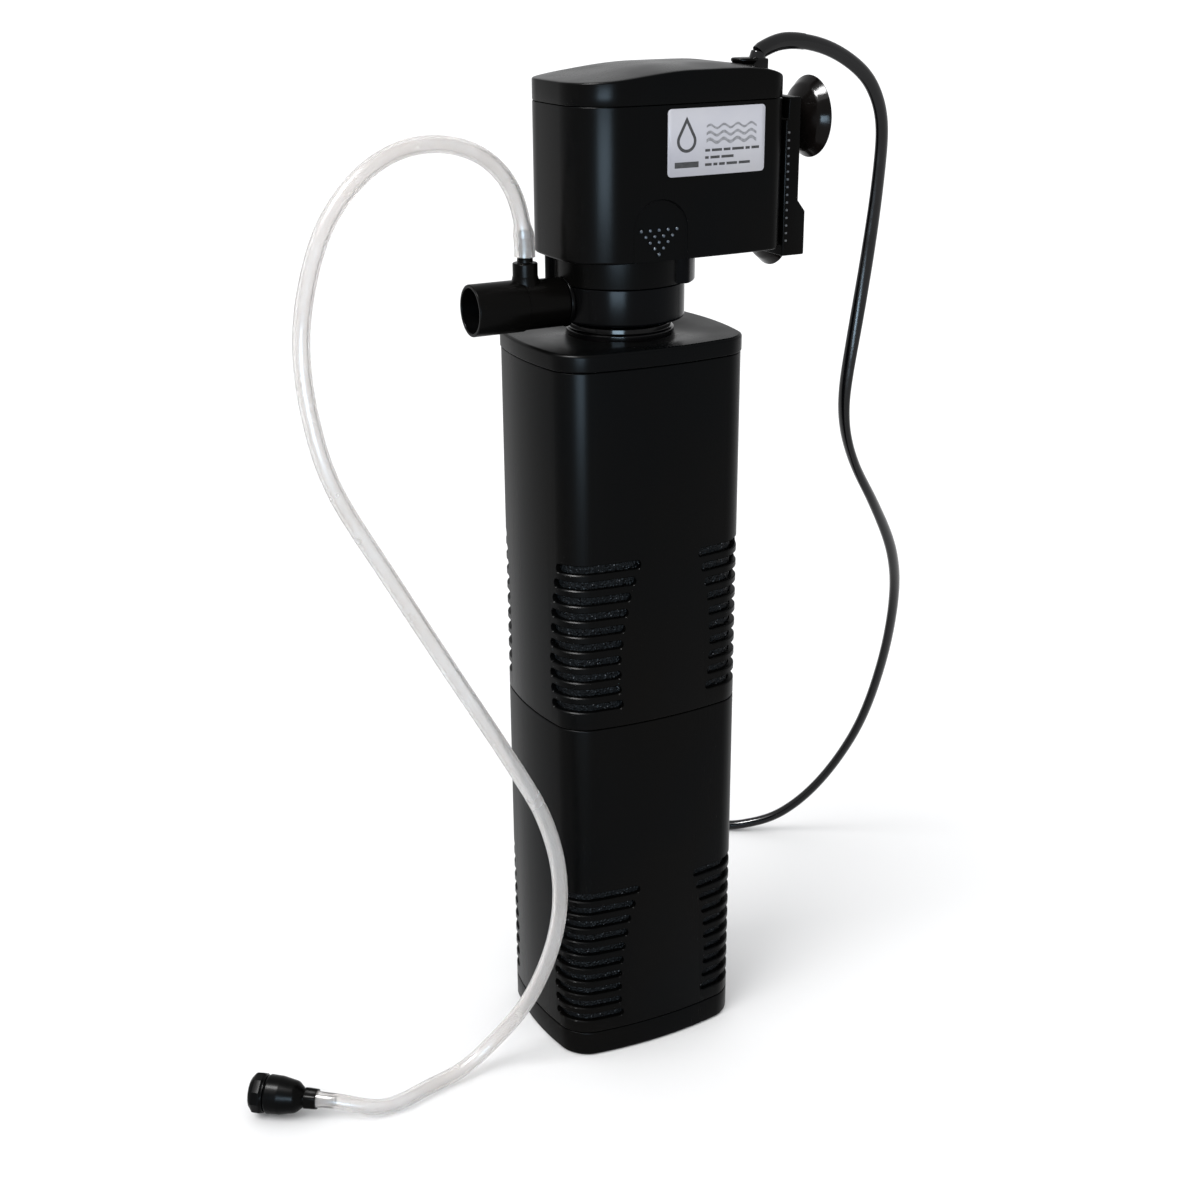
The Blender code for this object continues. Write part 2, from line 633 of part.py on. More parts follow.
def make_housing_cover():
    """The domed cover, hollow below, with a rim that sits inside the housing."""
    outer = head_outline()
    rim_outer, rim_inner = head_outline(HEAD_WALL + GAP), head_outline(HEAD_WALL + 1.9 * MM)
    seam, rim_bottom = HEAD_SEAM + GAP, HEAD_SEAM - 3.5 * MM
    levels = [
        level(rim_inner, COVER_EDGE - 1.6 * MM), level(rim_inner, rim_bottom), level(rim_outer, rim_bottom),
        level(rim_outer, seam), level(outer, seam), level(outer, COVER_EDGE - 0.8 * MM),
        scaled_level(outer, 0.985, COVER_EDGE + 0.1 * MM),
    ]
    for scale in (0.93, 0.8, 0.62, 0.4, 0.18):
        levels.append(scaled_level(outer, scale, COVER_EDGE + 0.4 * MM + COVER_RISE * (1 - scale ** 3.2)))
    cover = lofted("housing_cover", levels, BLACK, closed=False)
    hole = rod("gland_hole", 3.0 * MM, COVER_EDGE - 8 * MM, GLAND_TOP + 5 * MM, cutter=True, steps=24,
               place=(GLAND_X, GLAND_Y - 2 * MM, 0))
    cut(cover, hole)
    return cover


def make_cable_gland():
    """A block on the cover with a stem through it, which grips the cord."""
    gland = boxes("cable_gland", [((GLAND_X - 4 * MM, GLAND_X + 4 * MM), (GLAND_Y - 5.2 * MM, GLAND_Y + 3.8 * MM),
                                   (425.2 * MM, GLAND_TOP))], GLOSS)
    bevel(gland, 0.8 * MM)
    stem = rod("gland_stem", 2.7 * MM, COVER_EDGE - 5 * MM, GLAND_TOP - 1 * MM, cutter=True, steps=24,
               place=(GLAND_X, GLAND_Y - 2 * MM, 0))
    join(gland, stem)
    return gland


def make_stator():
    """U-shaped lamination stack: two legs beside the rotor well and a yoke behind it."""
    z = (362 * MM, 382 * MM)
    core = boxes("stator_core", [((10.3 * MM, 18.3 * MM), (-9 * MM, 50 * MM), z)], STEEL)
    leg = boxes("stator_leg", [((-18.3 * MM, -10.3 * MM), (-9 * MM, 50 * MM), z)], cutter=True)
    yoke = boxes("stator_yoke", [((-18.3 * MM, 18.3 * MM), (42 * MM, 50 * MM), z)], cutter=True)
    join(core, leg, yoke)
    windings = []
    for name, side in (("left", -1), ("right", 1)):
        x = sorted((side * 7.2 * MM, side * 21.4 * MM))
        hole = sorted((side * 10.0 * MM, side * 18.6 * MM))
        winding = boxes("coil_winding_" + name, [(x, (14 * MM, 40 * MM), (358.8 * MM, 385.2 * MM))], COPPER)
        bevel(winding, 1.5 * MM)
        cut(winding, boxes("winding_hole_" + name, [(hole, (10 * MM, 45 * MM), (z[0] - GAP, z[1] + GAP))], cutter=True))
        windings.append(winding)
    return [core] + windings


def make_label():
    """A thin foil that follows the curved side of the housing."""
    low, high, thickness = 386.0 * MM, 411.4 * MM, 0.35 * MM
    near, far, steps = 4.6 * MM, 48.6 * MM, 10
    ys = [near + (far - near) * i / steps for i in range(steps + 1)]
    inner = [(head_side_x(y) + 0.12 * MM, y) for y in ys]
    outer = [(x + thickness, y) for x, y in inner]
    return slab("rating_label", [inner + outer[::-1]], low, high, LABEL)


# ---------------------------------------------------------------- nozzle, bracket, cups

def make_outlet_nozzle():
    """A sleeve over the chamber's stub, with the boss for the air nipple on top."""
    along = dict(axis=(0, -1, 0), place=(0, 0, OUTLET_Z))
    nozzle = turned("outlet_nozzle", [
        (NOZZLE_BORE, -NOZZLE_END), (NOZZLE_RADIUS - 0.5 * MM, -NOZZLE_END), (NOZZLE_RADIUS, -NOZZLE_END - 0.5 * MM),
        (NOZZLE_RADIUS, -NOZZLE_STEP), (NOZZLE_ROOT_RADIUS, -NOZZLE_STEP), (NOZZLE_ROOT_RADIUS, -FLANGE_END + GAP),
        (NOZZLE_BORE, -FLANGE_END + GAP),
    ], BLACK, closed=True, steps=28, **along)
    boss_top = 353.0 * MM
    boss = rod("nipple_boss", 4.7 * MM, OUTLET_Z + NOZZLE_BORE + 0.5 * MM, boss_top, cutter=True, steps=24,
               place=(0, NIPPLE_Y, 0))
    hole = rod("nipple_hole", 1.6 * MM, OUTLET_Z, boss_top + 5 * MM, cutter=True, steps=12, place=(0, NIPPLE_Y, 0))
    join(nozzle, boss)
    cut(nozzle, hole)
    return nozzle


def make_air_nipple():
    """The barb's collar, which the hose is pushed on over."""
    bottom = 353.0 * MM + GAP
    return turned("air_nipple", [
        (1.2 * MM, NIPPLE_TOP), (3.1 * MM, NIPPLE_TOP), (3.3 * MM, NIPPLE_TOP - 0.6 * MM), (3.3 * MM, bottom),
        (1.2 * MM, bottom),
    ], BLACK, closed=True, steps=24, place=(0, NIPPLE_Y, 0))


def make_bracket():
    """The hanger that slides on the housing's rail and carries the cups."""
    width = (-BRACKET_HALF_X, BRACKET_HALF_X)
    bracket = boxes("mounting_bracket", [(width, (BRACKET_FRONT, BRACKET_REAR), (BRACKET_BOTTOM, BRACKET_TOP))], BLACK)
    spacer = slab("bracket_spacer", [[
        (BRACKET_FRONT + 1 * MM, BRACKET_BOTTOM), (SPACER_REAR, BRACKET_BOTTOM), (SPACER_REAR, 368 * MM),
        (BRACKET_REAR - 1 * MM, 373.5 * MM), (BRACKET_FRONT + 1 * MM, 373.5 * MM),
    ]], -BRACKET_HALF_X, BRACKET_HALF_X, cutter=True)
    spacer.data.transform(Matrix(((0, 0, 1, 0), (1, 0, 0, 0), (0, 1, 0, 0), (0, 0, 0, 1))))
    channel_head = boxes("channel_head", [((-8.3 * MM, 8.3 * MM), (61.8 * MM, 64.2 * MM), (357.7 * MM, 420 * MM))],
                         cutter=True)
    channel_neck = boxes("channel_neck", [((-5.3 * MM, 5.3 * MM), (60 * MM, 62 * MM), (357.7 * MM, 420 * MM))],
                         cutter=True)
    notch = boxes("bracket_top_notch", [((-40 * MM, 40 * MM), (60 * MM, 63.2 * MM), (404 * MM, 420 * MM))],
                  cutter=True)
    join(bracket, spacer)
    cut(bracket, channel_head, channel_neck, notch)
    for name, x, z in CUP_PLACES:
        cut(bracket, rod(f"cup_hole_{name}", 3.75 * MM, -80 * MM, -63.2 * MM, cutter=True, steps=24,
                         place=(x, 0, z), axis=(0, -1, 0)))
    return bracket


def make_suction_cup(name, x, z):
    """Turned about Y with its rim to +Y: heights are measured along +Y."""
    rim = 79.8 * MM
    profile = [
        (0, rim - 4.8 * MM), (6 * MM, rim - 4.3 * MM), (11 * MM, rim - 2.4 * MM), (CUP_RADIUS - 0.7 * MM, rim),
        (CUP_RADIUS, rim), (CUP_RADIUS, rim - 0.6 * MM), (12.5 * MM, rim - 4.2 * MM), (7.5 * MM, rim - 6.6 * MM),
        (5.2 * MM, rim - 8.6 * MM), (3.4 * MM, rim - 8.9 * MM), (3.4 * MM, 63.5 * MM), (0, 63.5 * MM),
    ]
    return turned("suction_cup_" + name, profile, RUBBER, steps=32, place=(x, 0, z), axis=(0, 1, 0))


# ---------------------------------------------------------------- air valve

def make_air_valve():
    """A barb, a bell-shaped body and a screw cap on one axis that lies just above the table."""
    along = dict(place=VALVE_INLET, axis=VALVE_AXIS)
    barb = turned("valve_barb", [
        (0, 4.6 * MM), (2.6 * MM, 4.6 * MM), (3.2 * MM, 3.6 * MM), (3.2 * MM, 1.0 * MM), (2.6 * MM, 0), (0, 0),
    ], BLACK, steps=20, **along)
    body = turned("air_valve_body", [
        (0, 22.6 * MM), (7.9 * MM, 22.6 * MM), (8.3 * MM, 21.5 * MM), (8.0 * MM, 15.5 * MM), (6.9 * MM, 9.5 * MM),
        (4.6 * MM, 6.0 * MM), (3.6 * MM, 4.6 * MM + GAP), (0, 4.6 * MM + GAP),
    ], BLACK, steps=24, **along)
    cap_start, cap_end = 22.6 * MM + GAP, 29.5 * MM
    cap = turned("air_valve_cap", [
        (0, cap_end), (6.4 * MM, cap_end), (8.4 * MM, cap_end - 1.6 * MM), (8.7 * MM, cap_start + 0.4 * MM),
        (8.2 * MM, cap_start), (0, cap_start),
    ], BLACK, steps=12, **along)
    return barb, body, cap


# ---------------------------------------------------------------- mains cord

def stored(side, away, z=0.0):
    """A point of the stored cord: sideways along STORE_ANGLE and away behind the column."""
    across = Vector((cos(STORE_ANGLE), sin(STORE_ANGLE), 0))
    behind = Vector((-sin(STORE_ANGLE), cos(STORE_ANGLE), 0))
    return across * side + behind * away + Vector((0, 0, z))


def make_cord():
    """The run from the gland to the coil, the coil, and the short tail from the coil to the plug."""
    turn_radius = COIL_OUTER - CORD_RADIUS
    rest = CORD_RADIUS + 0.1 * MM
    meet = sqrt(COIL_OUTER ** 2 - (turn_radius - CORD_RADIUS) ** 2) + GAP
    run = [Vector(p) * MM for p in CORD_ROUTE]
    run.append(stored(COIL_SIDE + meet + 22 * MM, COIL_AWAY + turn_radius + 1.0 * MM, rest))
    run.append(stored(COIL_SIDE + meet, COIL_AWAY + turn_radius, rest))
    cord = tube("power_cord", run, CORD_RADIUS, 13 * MM, RUBBER)
    coil = ring("cord_coil", COIL_INNER, COIL_OUTER, 0.05 * MM, COIL_HEIGHT, RUBBER, steps=28,
                place=stored(COIL_SIDE, COIL_AWAY))
    bevel(coil, 2.4 * MM, segments=1)
    left = COIL_SIDE - turn_radius
    bend = PLUG_SIDE - left
    tail = [stored(left, COIL_AWAY - meet, rest), stored(left, PLUG_AWAY + bend, rest)]
    for angle in (20, 40, 60, 80):
        tail.append(stored(PLUG_SIDE - bend * cos(radians(angle)), PLUG_AWAY + bend * (1 - sin(radians(angle))),
                           rest + (PLUG_HALF_HEIGHT - rest) * angle / 90))
    tail.append(stored(PLUG_SIDE, PLUG_AWAY, PLUG_HALF_HEIGHT + 0.05 * MM))
    return cord, coil, tube("cord_tail", tail, CORD_RADIUS, 10 * MM, RUBBER)


def make_plug():
    """A flat two-pin mains plug lying on its side face, with its pins along STORE_ANGLE."""
    outline = [(0, -5 * MM), (8 * MM, -7.5 * MM), (24 * MM, -PLUG_HALF_WIDTH), (PLUG_LENGTH, -PLUG_HALF_WIDTH),
               (PLUG_LENGTH, PLUG_HALF_WIDTH), (24 * MM, PLUG_HALF_WIDTH), (8 * MM, 7.5 * MM), (0, 5 * MM)]
    plug = slab("plug_body", [outline], -PLUG_HALF_HEIGHT, PLUG_HALF_HEIGHT, RUBBER)
    bevel(plug, 1.5 * MM)
    place = stored(PLUG_SIDE + GAP + 0.4 * MM, PLUG_AWAY, PLUG_HALF_HEIGHT + 0.05 * MM)
    plug.location = place
    plug.rotation_euler.z = STORE_ANGLE
    across, behind = stored(1, 0), stored(0, 1)
    pins = []
    for name, offset in (("left", -9.2 * MM), ("right", 9.2 * MM)):
        start = place + across * (PLUG_LENGTH + GAP) + behind * offset
        pins.append(turned("plug_pin_" + name, [
            (0, 19 * MM), (1.2 * MM, 19 * MM), (2 * MM, 17.8 * MM), (2 * MM, 0), (0, 0),
        ], BRASS, steps=16, place=start, axis=across))
    return [plug] + pins


# ---------------------------------------------------------------- assembly

def build():
    make_base_cover()
    lower = [
        make_canister("lower_canister", BASE_TOP + GAP, MIDDLE_SEAM, BASE_TOP - 1.0 * MM),
        make_sponge("lower_sponge", BASE_TOP + RIM_HEIGHT + GAP, MIDDLE_SEAM - 5 * MM),
        make_core_tube("lower_core_tube", 2.4 * MM + GAP, MIDDLE_SEAM - 1 * MM),
    ]
    upper = [
        make_canister("upper_canister", MIDDLE_SEAM + GAP, LID_SEAM, MIDDLE_SEAM + 1.0 * MM),
        make_sponge("upper_sponge", MIDDLE_SEAM + RIM_HEIGHT + GAP, LID_SEAM - 5 * MM),
        make_core_tube("upper_core_tube", MIDDLE_SEAM, LID_SEAM + 4 * MM),
    ]
    lid = [make_canister_lid(), make_neck_seal()]
    lower_bush, upper_bush = make_bushes()
    chamber = [make_pump_chamber(), lower_bush]
    rotor = [make_impeller(), make_rotor_magnet()]
    head = [make_motor_housing(), make_housing_cover(), make_cable_gland(), make_label(), make_shaft(), upper_bush]
    head += make_stator()
    head += make_cord()
    head += make_plug()
    barb, body, cap = make_air_valve()
    hose_route = [Vector(p) * MM for p in HOSE_ROUTE]
    hose_route += [VALVE_INLET - VALVE_AXIS * (GAP + 8 * MM), VALVE_INLET - VALVE_AXIS * GAP]
    hose = tube("air_hose", hose_route, HOSE_RADIUS, 13 * MM, HOSE)
    nozzle = [make_outlet_nozzle(), make_air_nipple(), hose, barb, body]
    bracket = [make_bracket()] + [make_suction_cup(*place) for place in CUP_PLACES]
    for name, place, pieces in (
        ("lower_canister_joint", (0, 0, BASE_TOP), lower),
        ("upper_canister_joint", (0, 0, MIDDLE_SEAM), upper),
        ("lid_joint", (0, 0, LID_SEAM), lid),
        ("pump_joint", (0, 0, SOCKET_TOP), chamber),
        ("head_joint", (0, 0, CHAMBER_TOP), head),
        ("rotor_joint", (0, 0, CHAMBER_BOTTOM), rotor),
        ("nozzle_joint", (0, FLANGE_END, OUTLET_Z), nozzle),
        ("bracket_joint", (0, BRACKET_FRONT, HEAD_BOTTOM), bracket),
        ("valve_cap_joint", VALVE_INLET, [cap]),
    ):
        parent_to(joint_empty(name, place), pieces)


build()
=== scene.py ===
"""Looks of a submersible aquarium filter: finely rebuilt sub-parts in the place of their CAD solids."""

from math import atan2, ceil, copysign, cos, pi, radians, sin, sqrt, tan

import bmesh
import bpy
from mathutils import Matrix, Quaternion, Vector


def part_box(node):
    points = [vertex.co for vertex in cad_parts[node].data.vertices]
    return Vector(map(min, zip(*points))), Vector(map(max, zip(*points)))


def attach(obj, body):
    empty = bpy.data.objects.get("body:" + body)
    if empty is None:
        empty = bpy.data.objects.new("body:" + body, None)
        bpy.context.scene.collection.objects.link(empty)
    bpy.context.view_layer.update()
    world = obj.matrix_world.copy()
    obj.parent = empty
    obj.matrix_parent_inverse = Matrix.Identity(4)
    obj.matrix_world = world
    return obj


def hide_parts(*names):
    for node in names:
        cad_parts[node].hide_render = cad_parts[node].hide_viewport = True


MM = 0.001
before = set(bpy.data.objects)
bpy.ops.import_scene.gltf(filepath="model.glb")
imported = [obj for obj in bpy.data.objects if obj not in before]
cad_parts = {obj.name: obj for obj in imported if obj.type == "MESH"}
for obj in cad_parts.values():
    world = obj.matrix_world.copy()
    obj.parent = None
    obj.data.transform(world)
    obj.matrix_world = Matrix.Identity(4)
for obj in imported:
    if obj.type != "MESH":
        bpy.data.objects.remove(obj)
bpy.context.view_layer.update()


def box(node):
    """The low and high corners of a node's box, in millimetres."""
    return [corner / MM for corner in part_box(node)]


# ---------------------------------------------------------------- sizes, in millimetres

GAP = 0.3
WALL = 2.1
COLUMN_BULGE = 4.4
COLUMN_CORNER = 9.0
COLUMN_HALF_X = box("base_cover")[1].x - COLUMN_BULGE
COLUMN_HALF_Y = box("base_cover")[1].y - COLUMN_BULGE
RIM_HEIGHT = 5.2
RIM_OUTER = WALL + GAP
RIM_INNER = RIM_OUTER + 1.9
BASE_TOP = box("base_cover")[1].z - RIM_HEIGHT
MIDDLE_SEAM = box("lower_canister")[1].z - RIM_HEIGHT
LID_SEAM = box("upper_canister")[1].z - RIM_HEIGHT
LID_TOP = LID_SEAM + 7.2
SOCKET_TOP = box("canister_lid")[1].z
CORE_OUTER = box("lower_core_tube")[1].x

SLOT_COUNT = 10
SLOT_PITCH = 6.8
SLOT_HALF = 1.9
SLOT_CHAMFER = 0.4
FIRST_SLOT = 9.2

CHAMBER_RADIUS = box("pump_chamber")[1].x + 0.6
CHAMBER_BOTTOM = 328.0
CHAMBER_TOP = 342.7
COLLAR_RADIUS = 26.6
LUG_RADIUS = 30.4
LUG_HALF_ANGLE = 25
OUTLET_Z = 336.1
OUTLET = dict(axis=(0, -1, 0), place=(0, 0, OUTLET_Z))
STUB_END = box("pump_chamber")[0].y
FLANGE_END = -26.6
NOZZLE_RADIUS = 10.3
NOZZLE_END = box("outlet_nozzle")[0].y
NOZZLE_STEP = -44.7
NIPPLE_Y = sum(c.y for c in box("air_nipple")) / 2
NIPPLE_TOP = box("air_nipple")[1].z

HEAD_BULGE = 1.7
HEAD_HALF_X = box("motor_housing")[1].x - HEAD_BULGE
HEAD_FRONT = box("motor_housing")[0].y + HEAD_BULGE
HEAD_REAR = box("housing_cover")[1].y
HEAD_BOTTOM = 354.0
HEAD_SEAM = box("motor_housing")[1].z
COVER_EDGE = 421.0
COVER_CROWN = 1.5
HEAD_WALL = 2.3
HEAD_FRONT_CORNER = 17.9
HEAD_REAR_CORNER = 7.4
HEAD_MIDDLE_Y = (HEAD_FRONT + HEAD_REAR) / 2
HEAD_HALF_Y = (HEAD_REAR - HEAD_FRONT) / 2
RAIL_SPAN = (358, 403)
RECESS_Y = 2.0
RECESS_Z = 366.0
RECESS_RADIUS = 12.0
GLAND = box("cable_gland")
GLAND_X = (GLAND[0].x + GLAND[1].x) / 2

CORD_RADIUS = 2.6
CORD_REST = 2.7
HOSE_RADIUS = 3.3
HOSE_INNER_RADIUS = 2.15
VALVE_INLET = Vector((19.0, -156.5, 9.2))
VALVE_AXIS = Vector((-17.5, -23.5, 0.3)).normalized()

# The coil and the plug lie at a side and an away distance from the column's axis, turned by this angle
STORE_ANGLE = radians(63)
COIL_SIDE = -8.0
COIL_AWAY = 124.0
COIL_OUTER = 34.7
COIL_INNER = 23.6
PLUG_SIDE = -17.0
PLUG_AWAY = 70.0
PLUG_Z = 6.95
RELIEF_LENGTH = 24.0

# Routes of the hose and the cord, in metres
HOSE_ROUTE = (
    (0, -.0423, .3553), (0, -.0424, .363), (.0006, -.045, .376), (.0025, -.052, .388),
    (.0055, -.064, .397), (.009, -.08, .4015), (.013, -.098, .4005), (.018, -.115, .393),
    (.022, -.1305, .3775), (.025, -.14, .356), (.028, -.1445, .334), (.031, -.1435, .309),
    (.035, -.1375, .2825), (.04, -.1195, .2465), (.044, -.0985, .2065), (.045, -.0745, .1625),
    (.043, -.0585, .1305), (.04, -.0505, .0985), (.038, -.0525, .0685), (.031, -.062, .037),
    (.0225, -.077, .0135), (.0235, -.093, .0046), (.0255, -.1075, .0037), (.0298, -.122, .0037),
    (.0302, -.134, .0048),
)
CORD_ROUTE = (
    (.013, .0556, .4294), (.013, .0582, .4314), (.013, .0622, .4330), (.013, .0672, .4338),
    (.013, .0729, .4336), (.0129, .0787, .4328), (.0128, .0847, .4315), (.0125, .0908, .4295),
    (.012, .0972, .4266), (.0115, .1036, .4228), (.0105, .1115, .4167), (.009, .1182, .4067),
    (.0075, .1213, .3967), (.006, .1224, .3866), (.0035, .1227, .3662), (.0015, .1217, .3454),
    (0, .1198, .3244), (-.001, .1172, .3031), (-.002, .1155, .2867), (-.003, .1155, .2755),
    (-.0045, .1177, .2637), (-.006, .1225, .2513), (-.008, .13, .2382), (-.011, .14, .2242),
    (-.0245, .163, .192), (-.042, .18, .158), (-.058, .187, .115), (-.072, .184, .072),
    (-.087, .172, .036), (-.101, .156, .013), (-.113, .138, .004), (-.124, .119, .0027),
)


def clamped(value):
    return min(max(value, 0), 1)


def eased(value):
    """From 0 to 1 with the value, with a gentle start and end."""
    share = clamped(value)
    return share ** 2 * (3 - 2 * share)


# ---------------------------------------------------------------- materials

def new_material(name, color, roughness, metallic=0.0, specular=0.5):
    material = bpy.data.materials.new(name)
    material.use_nodes = True
    shader = shader_of(material)
    shader.inputs["Base Color"].default_value = (*color, 1.0)
    shader.inputs["Roughness"].default_value = roughness
    shader.inputs["Metallic"].default_value = metallic
    shader.inputs["Specular IOR Level"].default_value = specular
    return material


def add_node(material, kind, **settings):
    node = material.node_tree.nodes.new(kind)
    for name, value in settings.items():
        setattr(node, name, value)
    return node


def link(material, output, socket):
    material.node_tree.links.new(output, socket)


def shader_of(material):
    return material.node_tree.nodes["Principled BSDF"]


def scaled(color, factor):
    return tuple(c * factor for c in color)


def texture(material, node, output, stretch=(1, 1, 1), **numbers):
    """An output of a texture node in object coordinates, in metres, that are scaled along each axis."""
    coordinates = add_node(material, "ShaderNodeTexCoord")
    mapping = add_node(material, "ShaderNodeMapping")
    mapping.inputs["Scale"].default_value = stretch
    link(material, coordinates.outputs["Object"], mapping.inputs["Vector"])
    link(material, mapping.outputs["Vector"], node.inputs["Vector"])
    for name, number in numbers.items():
        node.inputs[name].default_value = number
    return node.outputs[output]


def noise(material, scale, detail, stretch=(1, 1, 1)):
    node = add_node(material, "ShaderNodeTexNoise")
    return texture(material, node, "Fac", stretch, Scale=scale, Detail=detail)


def cells(material, scale):
    node = add_node(material, "ShaderNodeTexVoronoi", feature="F1")
    return texture(material, node, "Distance", Scale=scale)


def bands(material, scale, distortion):
    """Bands that follow each other upwards."""
    node = add_node(material, "ShaderNodeTexWave", bands_direction="Z")
    return texture(material, node, "Fac", Scale=scale, Distortion=distortion)


def remapped(material, value, old, new):
    node = add_node(material, "ShaderNodeMapRange")
    for name, number in zip(("From Min", "From Max", "To Min", "To Max"), (*old, *new)):
        node.inputs[name].default_value = number
    link(material, value, node.inputs["Value"])
    return node.outputs["Result"]


def vary_roughness(material, value, low, high):
    roughness = remapped(material, value, (0.3, 0.7), (low, high))
    link(material, roughness, shader_of(material).inputs["Roughness"])


def vary_color(material, value, first, second, span=(0.35, 0.65)):
    mix = add_node(material, "ShaderNodeMix", data_type="RGBA")
    mix.inputs["A"].default_value = (*first, 1.0)
    mix.inputs["B"].default_value = (*second, 1.0)
    link(material, remapped(material, value, span, (0, 1)), mix.inputs["Factor"])
    link(material, mix.outputs["Result"], shader_of(material).inputs["Base Color"])


def add_bump(material, value, depth, strength):
    """Relief of this depth in metres, on top of any relief that the material already has."""
    normal = shader_of(material).inputs["Normal"]
    node = add_node(material, "ShaderNodeBump")
    node.inputs["Distance"].default_value = depth
    node.inputs["Strength"].default_value = strength
    link(material, value, node.inputs["Height"])
    if normal.is_linked:
        link(material, normal.links[0].from_socket, node.inputs["Normal"])
    link(material, node.outputs["Normal"], normal)


def moulded_plastic(name, color, roughness, grain, specular):
    """Black moulding: slightly warmer and cooler patches, uneven gloss, and a fine spark-eroded grain."""
    material = new_material(name, color, roughness, specular=specular)
    cool = (color[0] * 0.8, color[1] * 0.95, color[2] * 1.15)
    warm = (color[0] * 1.35, color[1] * 1.15, color[2] * 1.0)
    vary_color(material, noise(material, 14, 2), cool, warm)
    vary_roughness(material, noise(material, 40, 4, (1, 1, 0.08)), roughness * 0.85, roughness * 1.2)
    add_bump(material, noise(material, 1500, 3), grain, 0.6)
    return material


def sponge_material():
    """Open-cell foam: nearly black, with sparse lighter specks that are painted glints on its ligaments."""
    material = new_material("sponge", (0.008, 0.009, 0.012), 0.9, specular=0.15)
    # The light colour close to each cell point is a painted glint; the rest is the foam's near-black
    vary_color(material, cells(material, 420), (0.24, 0.26, 0.29), (0.0018, 0.0018, 0.0022), (0.06, 0.14))
    vary_roughness(material, noise(material, 600, 2), 0.35, 1.0)
    add_bump(material, cells(material, 950), 0.0008, 1.0)
    add_bump(material, cells(material, 330), 0.0010, 0.7)
    return material


def rubber_material(name, color, roughness, specular):
    material = new_material(name, color, roughness, specular=specular)
    vary_color(material, noise(material, 60, 3), color, scaled(color, 1.6))
    vary_roughness(material, noise(material, 120, 4), roughness * 0.7, roughness * 1.35)
    add_bump(material, noise(material, 700, 2), 0.00003, 0.4)
    return material


def hose_material():
    """Milky silicone: light passes, but nothing behind it is sharp."""
    material = new_material("milky_silicone", (0.80, 0.78, 0.765), 0.22)
    shader_of(material).inputs["Transmission Weight"].default_value = 0.80
    shader_of(material).inputs["IOR"].default_value = 1.36
    vary_color(material, noise(material, 25, 3), (0.80, 0.785, 0.775), (0.775, 0.75, 0.73))
    vary_roughness(material, noise(material, 60, 3), 0.16, 0.28)
    return material


def label_material():
    material = new_material("label_foil", (0.44, 0.45, 0.50), 0.38, specular=0.25)
    vary_color(material, noise(material, 30, 3), (0.42, 0.43, 0.485), (0.47, 0.475, 0.51))
    vary_roughness(material, noise(material, 90, 3), 0.30, 0.48)
    add_bump(material, noise(material, 220, 3), 0.00004, 0.5)
    return material


def ink_material(name, color):
    material = new_material(name, color, 0.5)
    vary_color(material, noise(material, 900, 3), color, tuple(c * 1.5 + 0.01 for c in color))
    vary_roughness(material, noise(material, 200, 2), 0.4, 0.6)
    return material


def metal_material(name, color, roughness, brushing=(1, 1, 1)):
    """Metal with fine scratches, drawn out along the axis whose brushing scale is the smallest."""
    material = new_material(name, color, roughness, metallic=1.0)
    scratches = noise(material, 400, 4, brushing)
    vary_color(material, noise(material, 50, 3), color, scaled(color, 0.8))
    vary_roughness(material, scratches, roughness * 0.7, roughness * 1.4)
    add_bump(material, scratches, 0.00003, 0.4)
    return material


def layered_metal(name, color, roughness, layers, distortion, depth, strength):
    """Stacked sheets or wound wire."""
    material = metal_material(name, color, roughness)
    add_bump(material, bands(material, layers, distortion), depth, strength)
    return material


def stone_material(name, color, roughness):
    """Ferrite or ground ceramic: a fine even speckle."""
    material = new_material(name, color, roughness)
    vary_color(material, noise(material, 1200, 2), scaled(color, 0.85), scaled(color, 1.1))
    vary_roughness(material, noise(material, 300, 3), roughness * 0.8, roughness * 1.2)
    add_bump(material, noise(material, 1600, 2), 0.00002, 0.5)
    return material


def floor_material():
    material = new_material("studio_floor", (0.86, 0.86, 0.86), 1.0, specular=0.0)
    vary_color(material, noise(material, 0.4, 1), (0.858, 0.858, 0.858), (0.862, 0.862, 0.862))
    return material


BLACK = moulded_plastic("black_plastic", (0.0015, 0.0016, 0.0016), 0.29, 0.00002, 0.036)
CHAMBER_BLACK = moulded_plastic("smooth_black_plastic", (0.0018, 0.0021, 0.0025), 0.20, 0.00001, 0.036)
POLISHED = moulded_plastic("polished_black_plastic", (0.0022, 0.0022, 0.0024), 0.12, 0.000004, 0.12)
# Lighter grey for the raised grip dots and the bracket's index marks: its colour is a painted glint on these
# small raised marks
PAINTED_GLINT_GREY = moulded_plastic("painted_glint_plastic", (0.05, 0.06, 0.07), 0.22, 0.00001, 0.5)
SPONGE = sponge_material()
CUP_RUBBER = rubber_material("suction_cup_rubber", (0.0030, 0.0024, 0.0022), 0.16, 0.07)
SEAL_RUBBER = rubber_material("seal_rubber", (0.004, 0.004, 0.004), 0.4, 0.15)
CORD_JACKET = rubber_material("cord_jacket", (0.0018, 0.0018, 0.0022), 0.17, 0.24)
PLUG_PVC = rubber_material("plug_body", (0.0035, 0.0035, 0.0035), 0.35, 0.18)
HOSE = hose_material()
LABEL = label_material()
INK = ink_material("label_ink_black", (0.012, 0.012, 0.014))
PALE_INK = ink_material("label_ink_grey", (0.17, 0.175, 0.19))
NICKEL = metal_material("nickel_plating", (0.66, 0.63, 0.57), 0.22, (0.1, 1, 1))
STEEL = layered_metal("lamination_steel", (0.30, 0.30, 0.32), 0.45, 320, 0.0, 0.00012, 0.8)
COPPER = layered_metal("enamelled_copper", (0.50, 0.19, 0.07), 0.32, 420, 0.4, 0.00025, 0.9)
FERRITE = stone_material("ferrite", (0.045, 0.045, 0.05), 0.5)
CERAMIC = stone_material("ground_ceramic", (0.78, 0.76, 0.70), 0.22)
